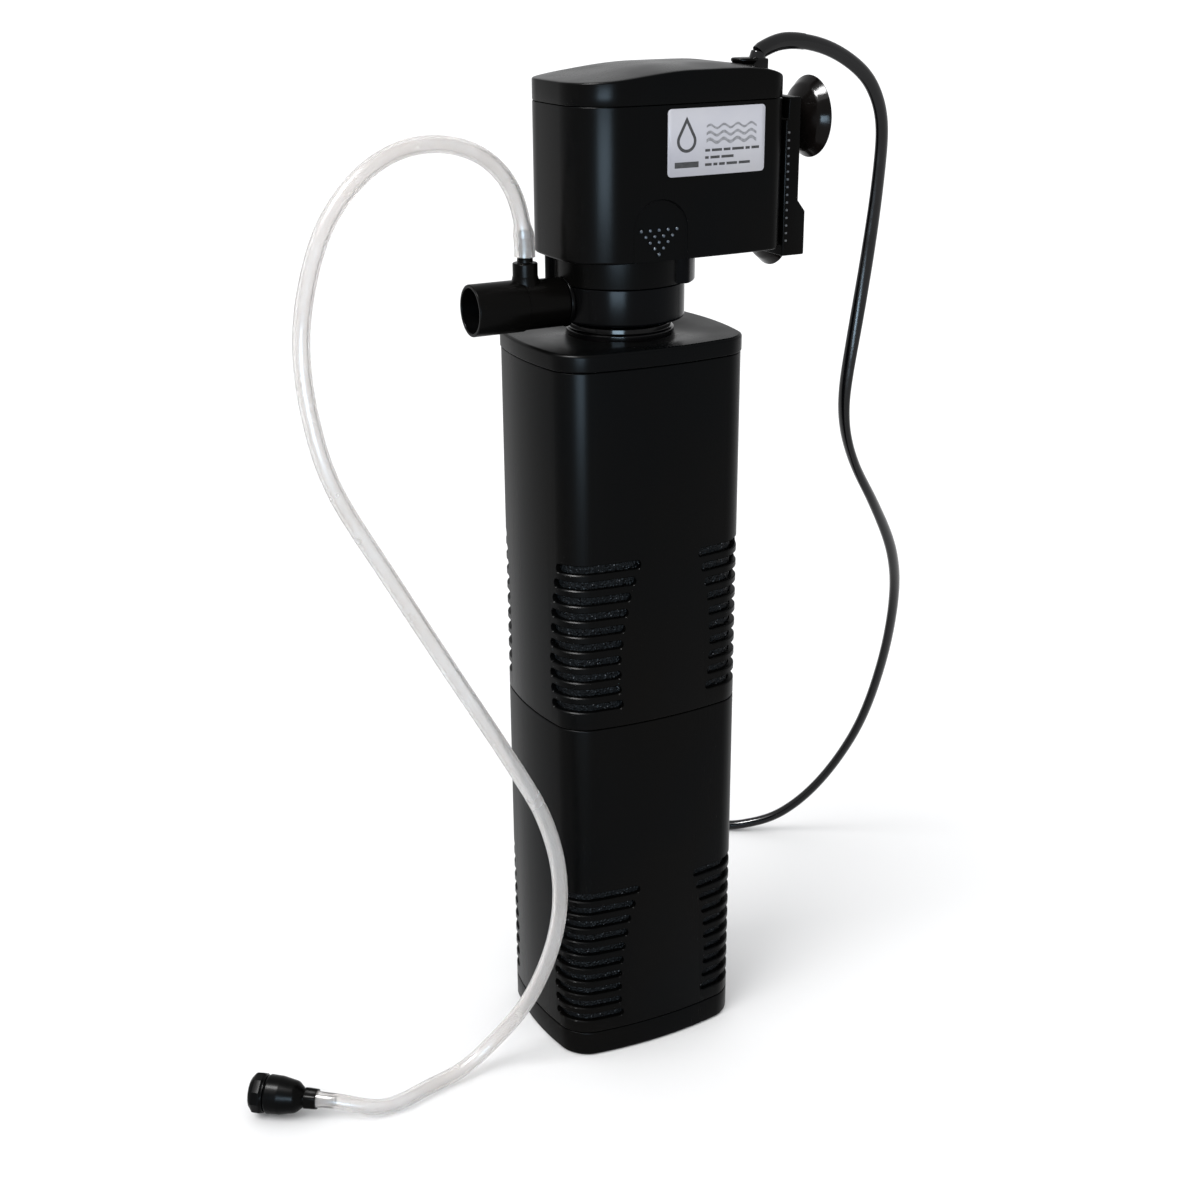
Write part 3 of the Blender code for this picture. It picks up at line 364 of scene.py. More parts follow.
FLOOR = floor_material()


# ---------------------------------------------------------------- outlines and profiles

def arc(cx, cy, radius, start, end, steps):
    """Points of an arc, angles in degrees, both ends included."""
    angles = [radians(start + (end - start) * i / steps) for i in range(steps + 1)]
    return [(cx + radius * cos(a), cy + radius * sin(a)) for a in angles]


def rounded_box(half_x, front, rear, front_corner, rear_corner, side_steps, arc_steps):
    """Anticlockwise outline with rounded corners of these radii and extra points along its straight sides."""
    corners = (
        arc(half_x - rear_corner, rear - rear_corner, rear_corner, 0, 90, arc_steps),
        arc(rear_corner - half_x, rear - rear_corner, rear_corner, 90, 180, arc_steps),
        arc(front_corner - half_x, front + front_corner, front_corner, 180, 270, arc_steps),
        arc(half_x - front_corner, front + front_corner, front_corner, 270, 360, arc_steps),
    )
    points = []
    for corner, following in zip(corners, corners[1:] + corners[:1]):
        points += corner
        start, end = Vector(corner[-1]), Vector(following[0])
        points += [tuple(start.lerp(end, i / side_steps)) for i in range(1, side_steps)]
    return points


def column(inset=0.0, side_steps=20):
    """Outline of the canisters, set in by the given distance: all four sides bulge."""
    half_x, half_y = COLUMN_HALF_X - inset, COLUMN_HALF_Y - inset
    corner = COLUMN_CORNER - inset
    shape = []
    for x, y in rounded_box(half_x, -half_y, half_y, corner, corner, side_steps, 10):
        shape.append((x * (1 + COLUMN_BULGE / half_x * (1 - (y / half_y) ** 2)),
                      y * (1 + COLUMN_BULGE / half_y * (1 - (x / half_x) ** 2))))
    return shape


def head_side_x(y):
    """X of the motor housing's side wall at this y, clear of its corners."""
    return HEAD_HALF_X + HEAD_BULGE * (1 - ((y - HEAD_MIDDLE_Y) / HEAD_HALF_Y) ** 2)


def head(inset=0.0):
    """Outline of the motor housing: its two sides and its front bulge, its rear is flat."""
    half_x, half_y = HEAD_HALF_X - inset, HEAD_HALF_Y - inset
    corners = (HEAD_FRONT_CORNER - inset, HEAD_REAR_CORNER - inset)
    shape = []
    for x, y in rounded_box(half_x, HEAD_FRONT + inset, HEAD_REAR - inset, *corners, 20, 12):
        bulged_x = x * (1 + HEAD_BULGE / half_x * (1 - ((y - HEAD_MIDDLE_Y) / half_y) ** 2))
        shape.append((bulged_x, y - HEAD_BULGE * (1 - (x / half_x) ** 2) if y < HEAD_MIDDLE_Y else y))
    return shape


def level(outline, z):
    return [(x, y, z) for x, y in outline]


def column_levels(corners, curve=4):
    """Rings round the column for a profile given as (inset, z) or (inset, z, fillet)."""
    return [level(column(inset), z) for inset, z in filleted(corners, curve)]


def round_level(outline, radius, z):
    """A circle with one point for each point of the outline, in the same direction from the middle."""
    return [(radius * cos(atan2(y, x)), radius * sin(atan2(y, x)), z) for x, y in outline]


def filleted(corners, steps=4):
    """Points of a profile given as (a, b) or (a, b, radius): a corner with a radius is rounded."""
    points = []
    for i, (a, b, *radius) in enumerate(corners):
        here = Vector((a, b))
        if not radius:
            points.append((a, b))
            continue
        back = (Vector(corners[i - 1][:2]) - here).normalized()
        onward = (Vector(corners[(i + 1) % len(corners)][:2]) - here).normalized()
        half = back.angle(onward) / 2
        centre = here + (back + onward).normalized() * radius[0] / sin(half)
        reach = radius[0] / tan(half)
        start, end = here + back * reach - centre, here + onward * reach - centre
        for k in range(steps + 1):
            spoke = start.lerp(end, k / steps).normalized() * radius[0]
            points.append(tuple(centre + spoke))
    return points


def rod(radius, top, bottom):
    """Corners of a plain rod's profile."""
    return [(0, top), (radius, top), (radius, bottom), (0, bottom)]


# ---------------------------------------------------------------- mesh helpers

def to_object(name, bm, material, unit=MM):
    """An object of a mesh whose coordinates are in this unit, given in metres."""
    bmesh.ops.scale(bm, vec=(unit, unit, unit), verts=bm.verts)
    mesh = bpy.data.meshes.new(name)
    bm.to_mesh(mesh)
    bm.free()
    if material:
        mesh.materials.append(material)
    obj = bpy.data.objects.new(name, mesh)
    bpy.context.scene.collection.objects.link(obj)
    shade(obj)
    return obj


def shade(obj):
    obj.data.shade_smooth()
    obj.data.set_sharp_from_angle(angle=radians(32))


def skin(name, rings, material, closed=False):
    """A mesh through rings of points, or single points. A closed one joins its last ring to its first."""
    bm = bmesh.new()
    made = [[bm.verts.new(point) for point in ring] for ring in rings]
    pairs = list(zip(made, made[1:])) + ([(made[-1], made[0])] if closed else [])
    for first, second in pairs:
        count = max(len(first), len(second))
        for i in range(count):
            j = (i + 1) % count
            corners = [first[i % len(first)], first[j % len(first)]]
            corners += [second[j % len(second)], second[i % len(second)]]
            bm.faces.new(tuple(dict.fromkeys(corners)))
    for ring in (made[0], made[-1]):
        if not closed and len(ring) > 1:
            bm.faces.new(ring)
    bmesh.ops.recalc_face_normals(bm, faces=bm.faces)
    return to_object(name, bm, material)


def turned(name, corners, material, place=(0, 0, 0), axis=(0, 0, 1), steps=64, closed=False, facets=None,
           curve=4):
    """A profile turned round an axis.

    Corners are (radius, height) or (radius, height, fillet), and curve is the number of steps in a fillet.
    Facets gives a factor on the radius from the angle and the height.
    """
    turn = Vector((0, 0, 1)).rotation_difference(Vector(axis))
    rings = []
    for radius, height in filleted(corners, curve):
        ring = []
        for i in range(steps if radius else 1):
            angle = 2 * pi * i / steps
            far = radius * facets(angle, height) if facets else radius
            ring.append(Vector(place) + turn @ Vector((far * cos(angle), far * sin(angle), height)))
        rings.append(ring)
    return skin(name, rings, material, closed)


def block(name, span, material, width, segments=3):
    """A box given as ((x0, x1), (y0, y1), (z0, z1)), with edges rounded over this width."""
    bm = bmesh.new()
    centre = Vector([(low + high) / 2 for low, high in span])
    size = Matrix.Diagonal([high - low for low, high in span] + [1])
    bmesh.ops.create_cube(bm, size=1.0, matrix=Matrix.Translation(centre) @ size)
    if width:
        bmesh.ops.bevel(bm, geom=bm.edges[:], offset=width, segments=segments, profile=0.5, affect="EDGES")
    return to_object(name, bm, material)


def prism(name, outline, low, high, material, width, axis="Z"):
    """An outline of (x, y) raised along Z, or one of (y, z) raised along X, with its edges rounded."""
    bm = bmesh.new()
    turn = {"Z": lambda a, b, c: (a, b, c), "X": lambda a, b, c: (c, a, b)}[axis]
    face = bm.faces.new([bm.verts.new(turn(a, b, low)) for a, b in outline])
    made = bmesh.ops.extrude_face_region(bm, geom=[face])
    shift = Vector(turn(0, 0, high - low))
    bmesh.ops.translate(bm, vec=shift, verts=[v for v in made["geom"] if isinstance(v, bmesh.types.BMVert)])
    bmesh.ops.recalc_face_normals(bm, faces=bm.faces)
    sharp = [edge for edge in bm.edges if edge.calc_face_angle(0) > radians(40)]
    bmesh.ops.bevel(bm, geom=sharp, offset=width, segments=3, profile=0.5, affect="EDGES")
    return to_object(name, bm, material)


def combine(obj, operation, *others):
    """Joins the others to the object, or cuts them from it, and keeps only the result."""
    for other in others:
        modifier = obj.modifiers.new(other.name, "BOOLEAN")
        modifier.operation, modifier.object, modifier.solver = operation, other, "MANIFOLD"
    bpy.context.view_layer.update()
    mesh = bpy.data.meshes.new_from_object(obj.evaluated_get(bpy.context.evaluated_depsgraph_get()))
    obj.modifiers.clear()
    obj.data = mesh
    for other in others:
        bpy.data.objects.remove(other, do_unlink=True)
    shade(obj)


def cut(obj, *others):
    combine(obj, "DIFFERENCE", *others)


def join(obj, *others):
    combine(obj, "UNION", *others)


def merged(name, pieces):
    """Several separate bodies kept as one object."""
    bm = bmesh.new()
    material = pieces[0].data.materials[0]
    for piece in pieces:
        bm.from_mesh(piece.data)
        bpy.data.objects.remove(piece, do_unlink=True)
    return to_object(name, bm, material, unit=1.0)


def smooth_route(points, spacing):
    """Points about one spacing apart on a smooth curve through the route's own points."""
    ends = [2 * points[0] - points[1]] + points + [2 * points[-1] - points[-2]]
    path = []
    for before, start, end, after in zip(ends, ends[1:], ends[2:], ends[3:]):
        steps = max(1, ceil((end - start).length / spacing))
        for i in range(steps):
            t = i / steps
            path.append(0.5 * (2 * start + (end - before) * t
                               + (2 * before - 5 * start + 4 * end - after) * t ** 2
                               + (3 * start - before - 3 * end + after) * t ** 3))
    return path + [points[-1]]


def swept(path, section, count):
    """Rings along a path: section(distance) gives the half width, half height and turn of each oval ring."""
    rings, travelled = [], 0.0
    side = Vector((0, 0, 1)).cross(path[1] - path[0]).normalized()
    if side.length < 0.5:
        side = Vector((1, 0, 0))
    for i, point in enumerate(path):
        before, after = path[max(i - 1, 0)], path[min(i + 1, len(path) - 1)]
        ahead = (after - before).normalized()
        travelled += (point - before).length
        side = (side - ahead * side.dot(ahead)).normalized()
        up = ahead.cross(side)
        half_width, half_height, turn = section(travelled)
        ring = []
        for k in range(count):
            angle = 2 * pi * k / count
            across, over = half_width * cos(angle), half_height * sin(angle)
            ring.append(point + side * (across * cos(turn) - over * sin(turn))
                        + up * (across * sin(turn) + over * cos(turn)))
        rings.append(ring)
    return rings


def finish(obj, body, slot, *replaced):
    """Sets the body that a piece rides on and hides the CAD nodes that it replaces. The slot is not used."""
    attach(obj, body)
    if replaced:
        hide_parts(*replaced)
    return obj


# ---------------------------------------------------------------- camera, light and floor

def make_stage():
    camera = bpy.data.objects.new("camera", bpy.data.cameras.new("camera"))
    bpy.context.scene.collection.objects.link(camera)
    azimuth, elevation, roll = radians(63.13), radians(20.7), radians(-0.47)
    back = Vector((sin(azimuth) * cos(elevation), -cos(azimuth) * cos(elevation), sin(elevation)))
    camera.location = (0.6168, -0.3275, 0.4717)
    camera.rotation_mode = "QUATERNION"
    camera.rotation_quaternion = (-back).to_track_quat("-Z", "Y") @ Quaternion((0, 0, 1), roll)
    camera.data.lens = 52.5
    camera.data.sensor_width = 36
    bpy.context.scene.camera = camera

    bm = bmesh.new()
    bmesh.ops.create_grid(bm, x_segments=1, y_segments=1, size=60)
    floor = to_object("studio_floor", bm, FLOOR, unit=1.0)
    floor.location.z = -0.00005

    world = bpy.data.worlds.new("studio")
    world.use_nodes = True
    world.node_tree.nodes["Background"].inputs["Color"].default_value = (0.985, 0.99, 1.0, 1)
    world.node_tree.nodes["Background"].inputs["Strength"].default_value = 1.0
    bpy.context.scene.world = world
    bpy.context.scene.view_settings.view_transform = "Standard"
    add_light("overhead", "SUN", (0.3, -1.1, 1.7), (0, 0, 0.2), 1.5, radians(35))
    add_light("front_panel", "AREA", (0.90, -0.56, 0.31), (0, 0, 0.33), 18.0, (0.46, 0.28), (0.60, 0.81, 1.0))
    add_light("top_panel", "AREA", (0.10, -0.55, 1.35), (0, 0, 0.30), 60.0, (0.30, 0.30))


def add_light(name, kind, place, target, power, size, color=(1, 1, 1)):
    """The sun lights everything. The area panels are only seen in reflections, as highlights."""
    light = bpy.data.lights.new(name, kind)
    light.energy = power
    light.color = color
    if kind == "SUN":
        light.angle = size
    else:
        light.shape = "RECTANGLE"
        light.size, light.size_y = size
    obj = bpy.data.objects.new(name, light)
    bpy.context.scene.collection.objects.link(obj)
    obj.visible_diffuse = kind == "SUN"
    obj.location = place
    obj.rotation_mode = "QUATERNION"
    obj.rotation_quaternion = (Vector(target) - Vector(place)).to_track_quat("-Z", "Y")


# ---------------------------------------------------------------- cords

def stored(side, away, z=0.0):
    """A point this far to the side, and this far away behind the column, turned by STORE_ANGLE."""
    across = Vector((cos(STORE_ANGLE), sin(STORE_ANGLE), 0))
    behind = Vector((-sin(STORE_ANGLE), cos(STORE_ANGLE), 0))
    return across * side + behind * away + Vector((0, 0, z))


def coil_points():
    """Turns anticlockwise from the coil's far side: inwards on the floor, then outwards on top of them."""
    low, high = 2.9, 8.2
    turns, inward = 4.25, 2.25
    per_turn = 48
    points = []
    for i in range(int(turns * per_turn) + 1):
        turn = i / per_turn
        if turn <= inward:
            radius = COIL_OUTER + (COIL_INNER - COIL_OUTER) * turn / inward
        else:
            radius = COIL_INNER + (COIL_OUTER - COIL_INNER) * (turn - inward) / (turns - inward)
        lift = min(eased((turn - inward + 0.1) / 0.3), eased((turns - turn) / 0.25))
        angle = pi / 2 + 2 * pi * turn
        side, away = COIL_SIDE + radius * cos(angle), COIL_AWAY + radius * sin(angle)
        points.append(stored(side, away, low + (high - low) * lift))
    return points


def cord_section(distance):
    """The jacket is a flat oval that twists slowly where it hangs, and lies flat in the coil."""
    hanging = clamped((560 - distance) / 100)
    grow = min(distance / 12, 1)
    flat = 0.42 * hanging * grow
    return CORD_RADIUS + flat, CORD_RADIUS - flat, pi * (0.5 + eased((distance - 80) / 260))


def relaxed(path, reach, passes):
    """Takes small kinks out of a path, up to where it has run this far. Its first two points stay."""
    for _ in range(passes):
        travelled, softer = 0.0, list(path)
        for i in range(2, len(path) - 1):
            travelled += (path[i] - path[i - 1]).length
            weight = 0.5 * clamped((reach - travelled) / 30)
            softer[i] = path[i].lerp((path[i - 1] + path[i + 1]) / 2, weight)
        path = softer
    return path


def make_strain_relief(path):
    """A sleeve that tapers from the gland's collar down onto the cord."""
    covered, travelled = [path[0]], 0.0
    for before, point in zip(path, path[1:]):
        travelled += (point - before).length
        if travelled > RELIEF_LENGTH:
            break
        covered.append(point)

    def wall(thickness, taper):
        def section(distance):
            half_width, half_height, turn = cord_section(distance)
            extra = thickness + taper * max(0, 1 - distance / RELIEF_LENGTH)
            return half_width + extra, half_height + extra, turn
        return section

    outside = swept(covered, wall(0.14, 0.5), 18)
    inside = swept(covered, wall(0.02, 0), 18)
    relief = skin("cord_strain_relief", outside + inside[::-1], CORD_JACKET, closed=True)
    return finish(relief, "head", "black_rubber")


def make_power_cord():
    """The cord goes down behind the column to the coil, round it, and on in a bend to the plug."""
    run = [Vector(p) / MM for p in CORD_ROUTE]
    run.append(stored(COIL_SIDE + 41.3, COIL_AWAY + COIL_OUTER + 1.0, CORD_REST))
    run.append(stored(COIL_SIDE + 19.3, COIL_AWAY + COIL_OUTER, CORD_REST))
    left = COIL_SIDE - COIL_OUTER
    bend = PLUG_SIDE - left
    tail = [stored(left, COIL_AWAY - 19.3, CORD_REST), stored(left, PLUG_AWAY + bend, CORD_REST)]
    for angle in (20, 40, 60, 80):
        side = PLUG_SIDE - bend * cos(radians(angle))
        away = PLUG_AWAY + bend * (1 - sin(radians(angle)))
        tail.append(stored(side, away, CORD_REST + (PLUG_Z - CORD_REST) * angle / 90))
    tail.append(stored(PLUG_SIDE + 1.0, PLUG_AWAY, PLUG_Z))
    path = relaxed(smooth_route(run + coil_points() + tail, 2.5), reach=500, passes=12)
    cord = skin("power_cord_jacket", swept(path, cord_section, 18), CORD_JACKET)
    finish(cord, "head", "black_rubber", "power_cord", "cord_coil", "cord_tail")
    return cord, path


def make_coil_tie():
    """A strip of flat wire tie round all the turns, with its two ends twisted together on top."""
    inner, outer, low, high = 20.6, 37.6, 0.06, 11.25
    angle = radians(200)
    centre = stored(COIL_SIDE, COIL_AWAY)
    out = stored(cos(angle), sin(angle))
    along = Vector((-out.y, out.x, 0))
    corners = filleted([(inner, low, 2.2), (outer, low, 2.2), (outer, high, 2.2), (inner, high, 2.2)], 6)
    middle = Vector(((inner + outer) / 2, (low + high) / 2))
    strips = []
    for shrink, half in ((0.0, 1.5), (0.0, -1.5), (0.25, -1.5), (0.25, 1.5)):
        ring = []
        for a, b in corners:
            spoke = Vector((a, b)) - middle
            spoke = middle + spoke * (1 - shrink / spoke.length)
            ring.append(centre + out * spoke.x + along * half + Vector((0, 0, spoke.y)))
        strips.append(ring)
    band = skin("coil_tie_band", strips, PLUG_PVC, closed=True)
    ends = []
    for side in (1, -1):
        start = centre + out * (outer - 6) + Vector((0, 0, high - 0.2))
        path = []
        for i in range(37):
            t = i / 6
            twist = along * side * 0.55 * cos(2.4 * t) + Vector((0, 0, 0.55 * side * sin(2.4 * t) - 0.35 * t))
            path.append(start + out * 14 * t / 6 + twist)
        ends.append(skin(f"tie_end_{side}", swept(path, lambda d: (0.9, 0.22, d * 0.3), 10), PLUG_PVC))
    return finish(merged("coil_tie", [band] + ends), "head", "black_rubber")


def make_plug():
    """Flat two-pin plug on its side face: a waisted body with finger ribs, and sleeved pins."""
    across, behind = stored(1, 0), stored(0, 1)
    place = stored(PLUG_SIDE + 0.7, PLUG_AWAY, PLUG_Z)
    length = 36.0

    def section(run):
        half_width = 5.0 + 8.0 * eased(run / length)
        half_height = 4.6 + 2.25 * min(1, run / length * 2.5)
        edge = min(1, run / 1.6, (length - run) / 1.0)
        shrink = 1 - 0.16 * (1 - sqrt(1 - (1 - edge) ** 2))
        rib = 1 - 0.035 * max(0, sin((run - 6) / 2.6 * 2 * pi)) * (6 < run < 20)
        ring = []
        for k in range(40):
            angle = 2 * pi * k / 40
            sideways, up = [copysign(sqrt(abs(part)), part) for part in (cos(angle), sin(angle))]
            ring.append(place + across * run + behind * (half_width * shrink * rib * sideways)
                        + Vector((0, 0, half_height * shrink * up)))
        return ring

    steps = 72
    body = skin("plug_shell", [section(length * i / steps) for i in range(steps + 1)], PLUG_PVC)
    finish(body, "head", "black_rubber", "plug_body")
    made = [body]
    for name, offset in (("left", -9.2), ("right", 9.2)):
        start = place + across * (length + 0.1) + behind * offset
        shaft = [(0, 19.1), (2.0, 19.1, 1.3), (2.0, 0), (0, 0)]
        pin = turned("mains_pin_" + name, shaft, NICKEL, start, across, 32)
        cover = [(2.03, 10), (2.12, 9.8), (2.15, 0), (2.03, 0)]
        sleeve = turned("pin_sleeve_" + name, cover, PLUG_PVC, start, across, 32, closed=True)
        finish(pin, "head", "nickel_brass", "plug_pin_" + name)
        finish(sleeve, "head", "black_rubber")
        made += [pin, sleeve]
    return made


def make_air_hose():
    """A hollow tube, stretched over the nipple's barb at one end and the valve's at the other."""
    inlet = [VALVE_INLET - VALVE_AXIS * 8.3, VALVE_INLET + VALVE_AXIS * 3.4]
    route = [Vector(p) / MM for p in HOSE_ROUTE] + inlet
    path = relaxed(smooth_route(route, 2.0), reach=590, passes=14)
    length = sum((b - a).length for a, b in zip(path, path[1:]))

    def stretch(distance):
        return 0.85 * clamped((12.5 - distance) / 3) + 0.3 * clamped((distance - length + 6) / 3)

    outer = swept(path, lambda d: (HOSE_RADIUS + stretch(d), HOSE_RADIUS + stretch(d), 0), 24)
    inner = swept(path, lambda d: (HOSE_INNER_RADIUS + stretch(d), HOSE_INNER_RADIUS + stretch(d), 0), 24)
    hose = skin("silicone_hose", outer + inner[::-1], HOSE, closed=True)
    finish(hose, "nozzle", "milky_hose", "air_hose")
    return hose, path


def make_air_valve():
    """Barb, ribbed collar, bell-shaped body and a faceted screw cap."""
    along = dict(place=VALVE_INLET, axis=VALVE_AXIS)
    barb = turned("valve_hose_barb", [
        (0, 4.6), (3.9, 4.6), (3.9, 3.7, 0.3), (2.3, 3.6), (2.3, -6), (2.1, -7.5), (1.4, -7.6), (0, -7.6),
    ], BLACK, steps=48, **along)
    finish(barb, "nozzle", "black_plastic", "valve_barb")
    ring = [(3.9, 5.6), (4.6, 5.6, 0.3), (4.4, 0.4, 0.3), (3.7, 0.4)]
    collar = turned("valve_collar", ring, BLACK, steps=60, closed=True,
                    facets=lambda angle, height: 1 + 0.05 * cos(6 * angle), **along)
    finish(collar, "nozzle", "black_plastic")
    body = turned("valve_bell", [
        (0, 22.6), (7.7, 22.6, 0.3), (8.3, 21.6, 0.4), (8.1, 16.5, 6), (6.7, 9.4, 3.5), (3.9, 6.2, 0.8),
        (3.4, 4.9), (0, 4.9),
    ], BLACK, steps=72, curve=8, **along)
    finish(body, "nozzle", "black_plastic", "air_valve_body")

    def flats(angle, height):
        """Ten flats whose corners fade out towards the cap's ends."""
        turn = (angle % (2 * pi / 10)) - pi / 10
        return cos(pi / 10) / cos(turn) if 23.6 < height < 28.6 else cos(pi / 10) * 1.005

    cap = turned("valve_screw_cap", [
        (0, 28.2), (4.6, 28.2), (5.0, 29.4, 0.4), (7.0, 29.4, 0.8), (8.5, 27.8), (8.75, 27.0),
        (8.75, 24.2, 0.3), (8.2, 23.4), (8.2, 22.9), (0, 22.9),
    ], BLACK, steps=80, facets=flats, **along)
    finish(cap, "valve_cap", "black_plastic", "air_valve_cap")
    return barb, collar, body, cap


def make_cords():
    cord, cord_path = make_power_cord()
    relief = make_strain_relief(cord_path)
    tie = make_coil_tie()
    plug = make_plug()
    hose, hose_path = make_air_hose()
    valve = make_air_valve()


# ---------------------------------------------------------------- canisters

def spaced_outline(outline, spacing):
    """Points evenly spaced round a closed outline, each with its outward normal."""
    points = [Vector(p) for p in outline]
    stations = []
    for start, end in zip(points, points[1:] + points[:1]):
        ahead = (end - start).normalized()
        steps = max(1, round((end - start).length / spacing))
        stations += [(start.lerp(end, i / steps), Vector((ahead.y, -ahead.x))) for i in range(steps)]
    return stations


def slot_reach(i):
    """Where this row's slots end: across on the front and back, and forward and back on the sides."""
    across = 19.1 + 4.6 * ((i - 2.5) / 6.5) ** 2
    front = 18.6 - 8.8 * ((i - 2) / 7) ** 2
    rear = 23.3 - 6.5 * ((i - 3) / 6) ** 2
    return across, front, rear


def slot_cutter(name, seam):
    """All inlet slots of a canister: they follow it round the corners, with round ends and bevelled lips."""
    stations = spaced_outline(column(side_steps=48), 0.5)
    bm = bmesh.new()
    for i in range(SLOT_COUNT):
        z = seam + FIRST_SLOT + SLOT_PITCH * i
        across, front, rear = slot_reach(i)
        inside = [abs(p.x) > across and (p.y < -front or p.y > rear) for p, _ in stations]
        starts = [k for k in range(len(stations)) if inside[k] and not inside[k - 1]]
        for start in starts:
            stretch = [stations[start]]
            while inside[(start + len(stretch)) % len(stations)]:
                stretch.append(stations[(start + len(stretch)) % len(stations)])
            add_slot(bm, stretch, z)
    bmesh.ops.recalc_face_normals(bm, faces=bm.faces)
    return to_object(name, bm, None)


def add_slot(bm, stretch, z):
    """One slot: a bar along the stretch that is narrower inside the wall than at its face."""
    lip = 0.8
    widened = SLOT_HALF + SLOT_CHAMFER
    along = [0.0]
    for (a, _), (b, _) in zip(stretch, stretch[1:]):
        along.append(along[-1] + (b - a).length)
    section = ((lip, widened + lip), (0, widened), (-SLOT_CHAMFER, SLOT_HALF), (-WALL - 2, SLOT_HALF))
    section += tuple((out, -up) for out, up in reversed(section))
    rings = []
    for (point, normal), distance in zip(stretch, along):
        nearest_end = min(distance, along[-1] - distance)
        short = 1 - min(nearest_end / SLOT_HALF, 1)
        scale = max(sqrt(1 - short * short), 0.22)
        rings.append([bm.verts.new((point.x + normal.x * out, point.y + normal.y * out, z + up * scale))
                      for out, up in section])
    count = len(section)
    for first, second in zip(rings, rings[1:]):
        for i in range(count):
            bm.faces.new((first[i], first[(i + 1) % count], second[(i + 1) % count], second[i]))
    bm.faces.new(rings[0])
    bm.faces.new(rings[-1])


def rim(top):
    """Corners of a wall's top edge, with the rim inside it that the next piece slides over."""
    crest = top + RIM_HEIGHT
    return [(0, top, 0.5), (RIM_OUTER, top), (RIM_OUTER, crest, 0.5), (RIM_INNER, crest, 0.5)]


def make_canister(name, body, node, bottom, top, slots_from):
    """A slotted sleeve, open below, whose top plate lies inside its rim and has a hole for the core tube."""
    outer = column()
    hole = CORE_OUTER + GAP
    plate_top, plate_bottom = top - 2.0, top - 4.4
    rings = column_levels([(WALL, bottom), (0, bottom, 0.6)] + rim(top) + [(RIM_INNER, plate_top)])
    rings += [round_level(outer, hole, plate_top), round_level(outer, hole, plate_bottom)]
    rings.append(level(column(WALL), plate_bottom))
    shell = skin(name, rings, BLACK, closed=True)
    cut(shell, slot_cutter(name + "_slots", slots_from))
    finish(shell, body, "black_plastic", node)


def make_base():
    """A tray with the same rim, and a ring on its floor that centres the core tube."""
    floor = 2.4
    corners = [(7, 0), (0, 0, 1.5)] + rim(BASE_TOP) + [(RIM_INNER, floor, 0.8), (8, floor)]
    base = skin("base_tray", column_levels(corners), BLACK)
    ring = [(7.5, 9, 0.5), (9.9, 9, 0.5), (9.9, 1.4), (7.5, 1.4)]
    join(base, turned("base_tray_peg", ring, BLACK, steps=64, closed=True))
    finish(base, "base", "black_plastic", "base_cover")


def make_lid():
    """Cap with soft edges, a seating groove and the polished stepped socket."""
    outer = column()
    proud, bottom = -0.35, LID_SEAM + GAP
    rings = column_levels([(WALL, bottom), (proud, bottom, 0.45), (proud, LID_TOP, 1.3), (7, LID_TOP)], 6)
    for radius, depth in ((22.6, 0.05), (22.2, 0.3), (15, 0.3), (10.2, 0.3), (10.2, 1.7)):
        rings.append(round_level(outer, radius, LID_TOP - depth))
    rings.append(level(column(WALL), LID_TOP - 1.7))
    lid = skin("lid_cap", rings, BLACK, closed=True)
    finish(lid, "lid", "black_plastic", "canister_lid")
    bore, foot, step = 17.8, LID_TOP - 0.28, LID_TOP + 2.4
    socket = turned("lid_socket", [
        (bore, SOCKET_TOP), (20.9, SOCKET_TOP, 0.6), (20.9, step, 0.5), (22.1, step, 0.7), (22.1, foot),
        (bore, foot),
    ], POLISHED, steps=96, closed=True, curve=6)
    finish(socket, "lid", "gloss_black_plastic")
    ring = [(17.5, 327.7, 0.4), (19.6, 327.7, 0.4), (19.6, 326.7, 0.4), (17.5, 326.7, 0.4)]
    seal = turned("neck_ring", ring, SEAL_RUBBER, steps=72, closed=True, curve=6)
    finish(seal, "lid", "black_rubber", "neck_seal")


# ---------------------------------------------------------------- pump

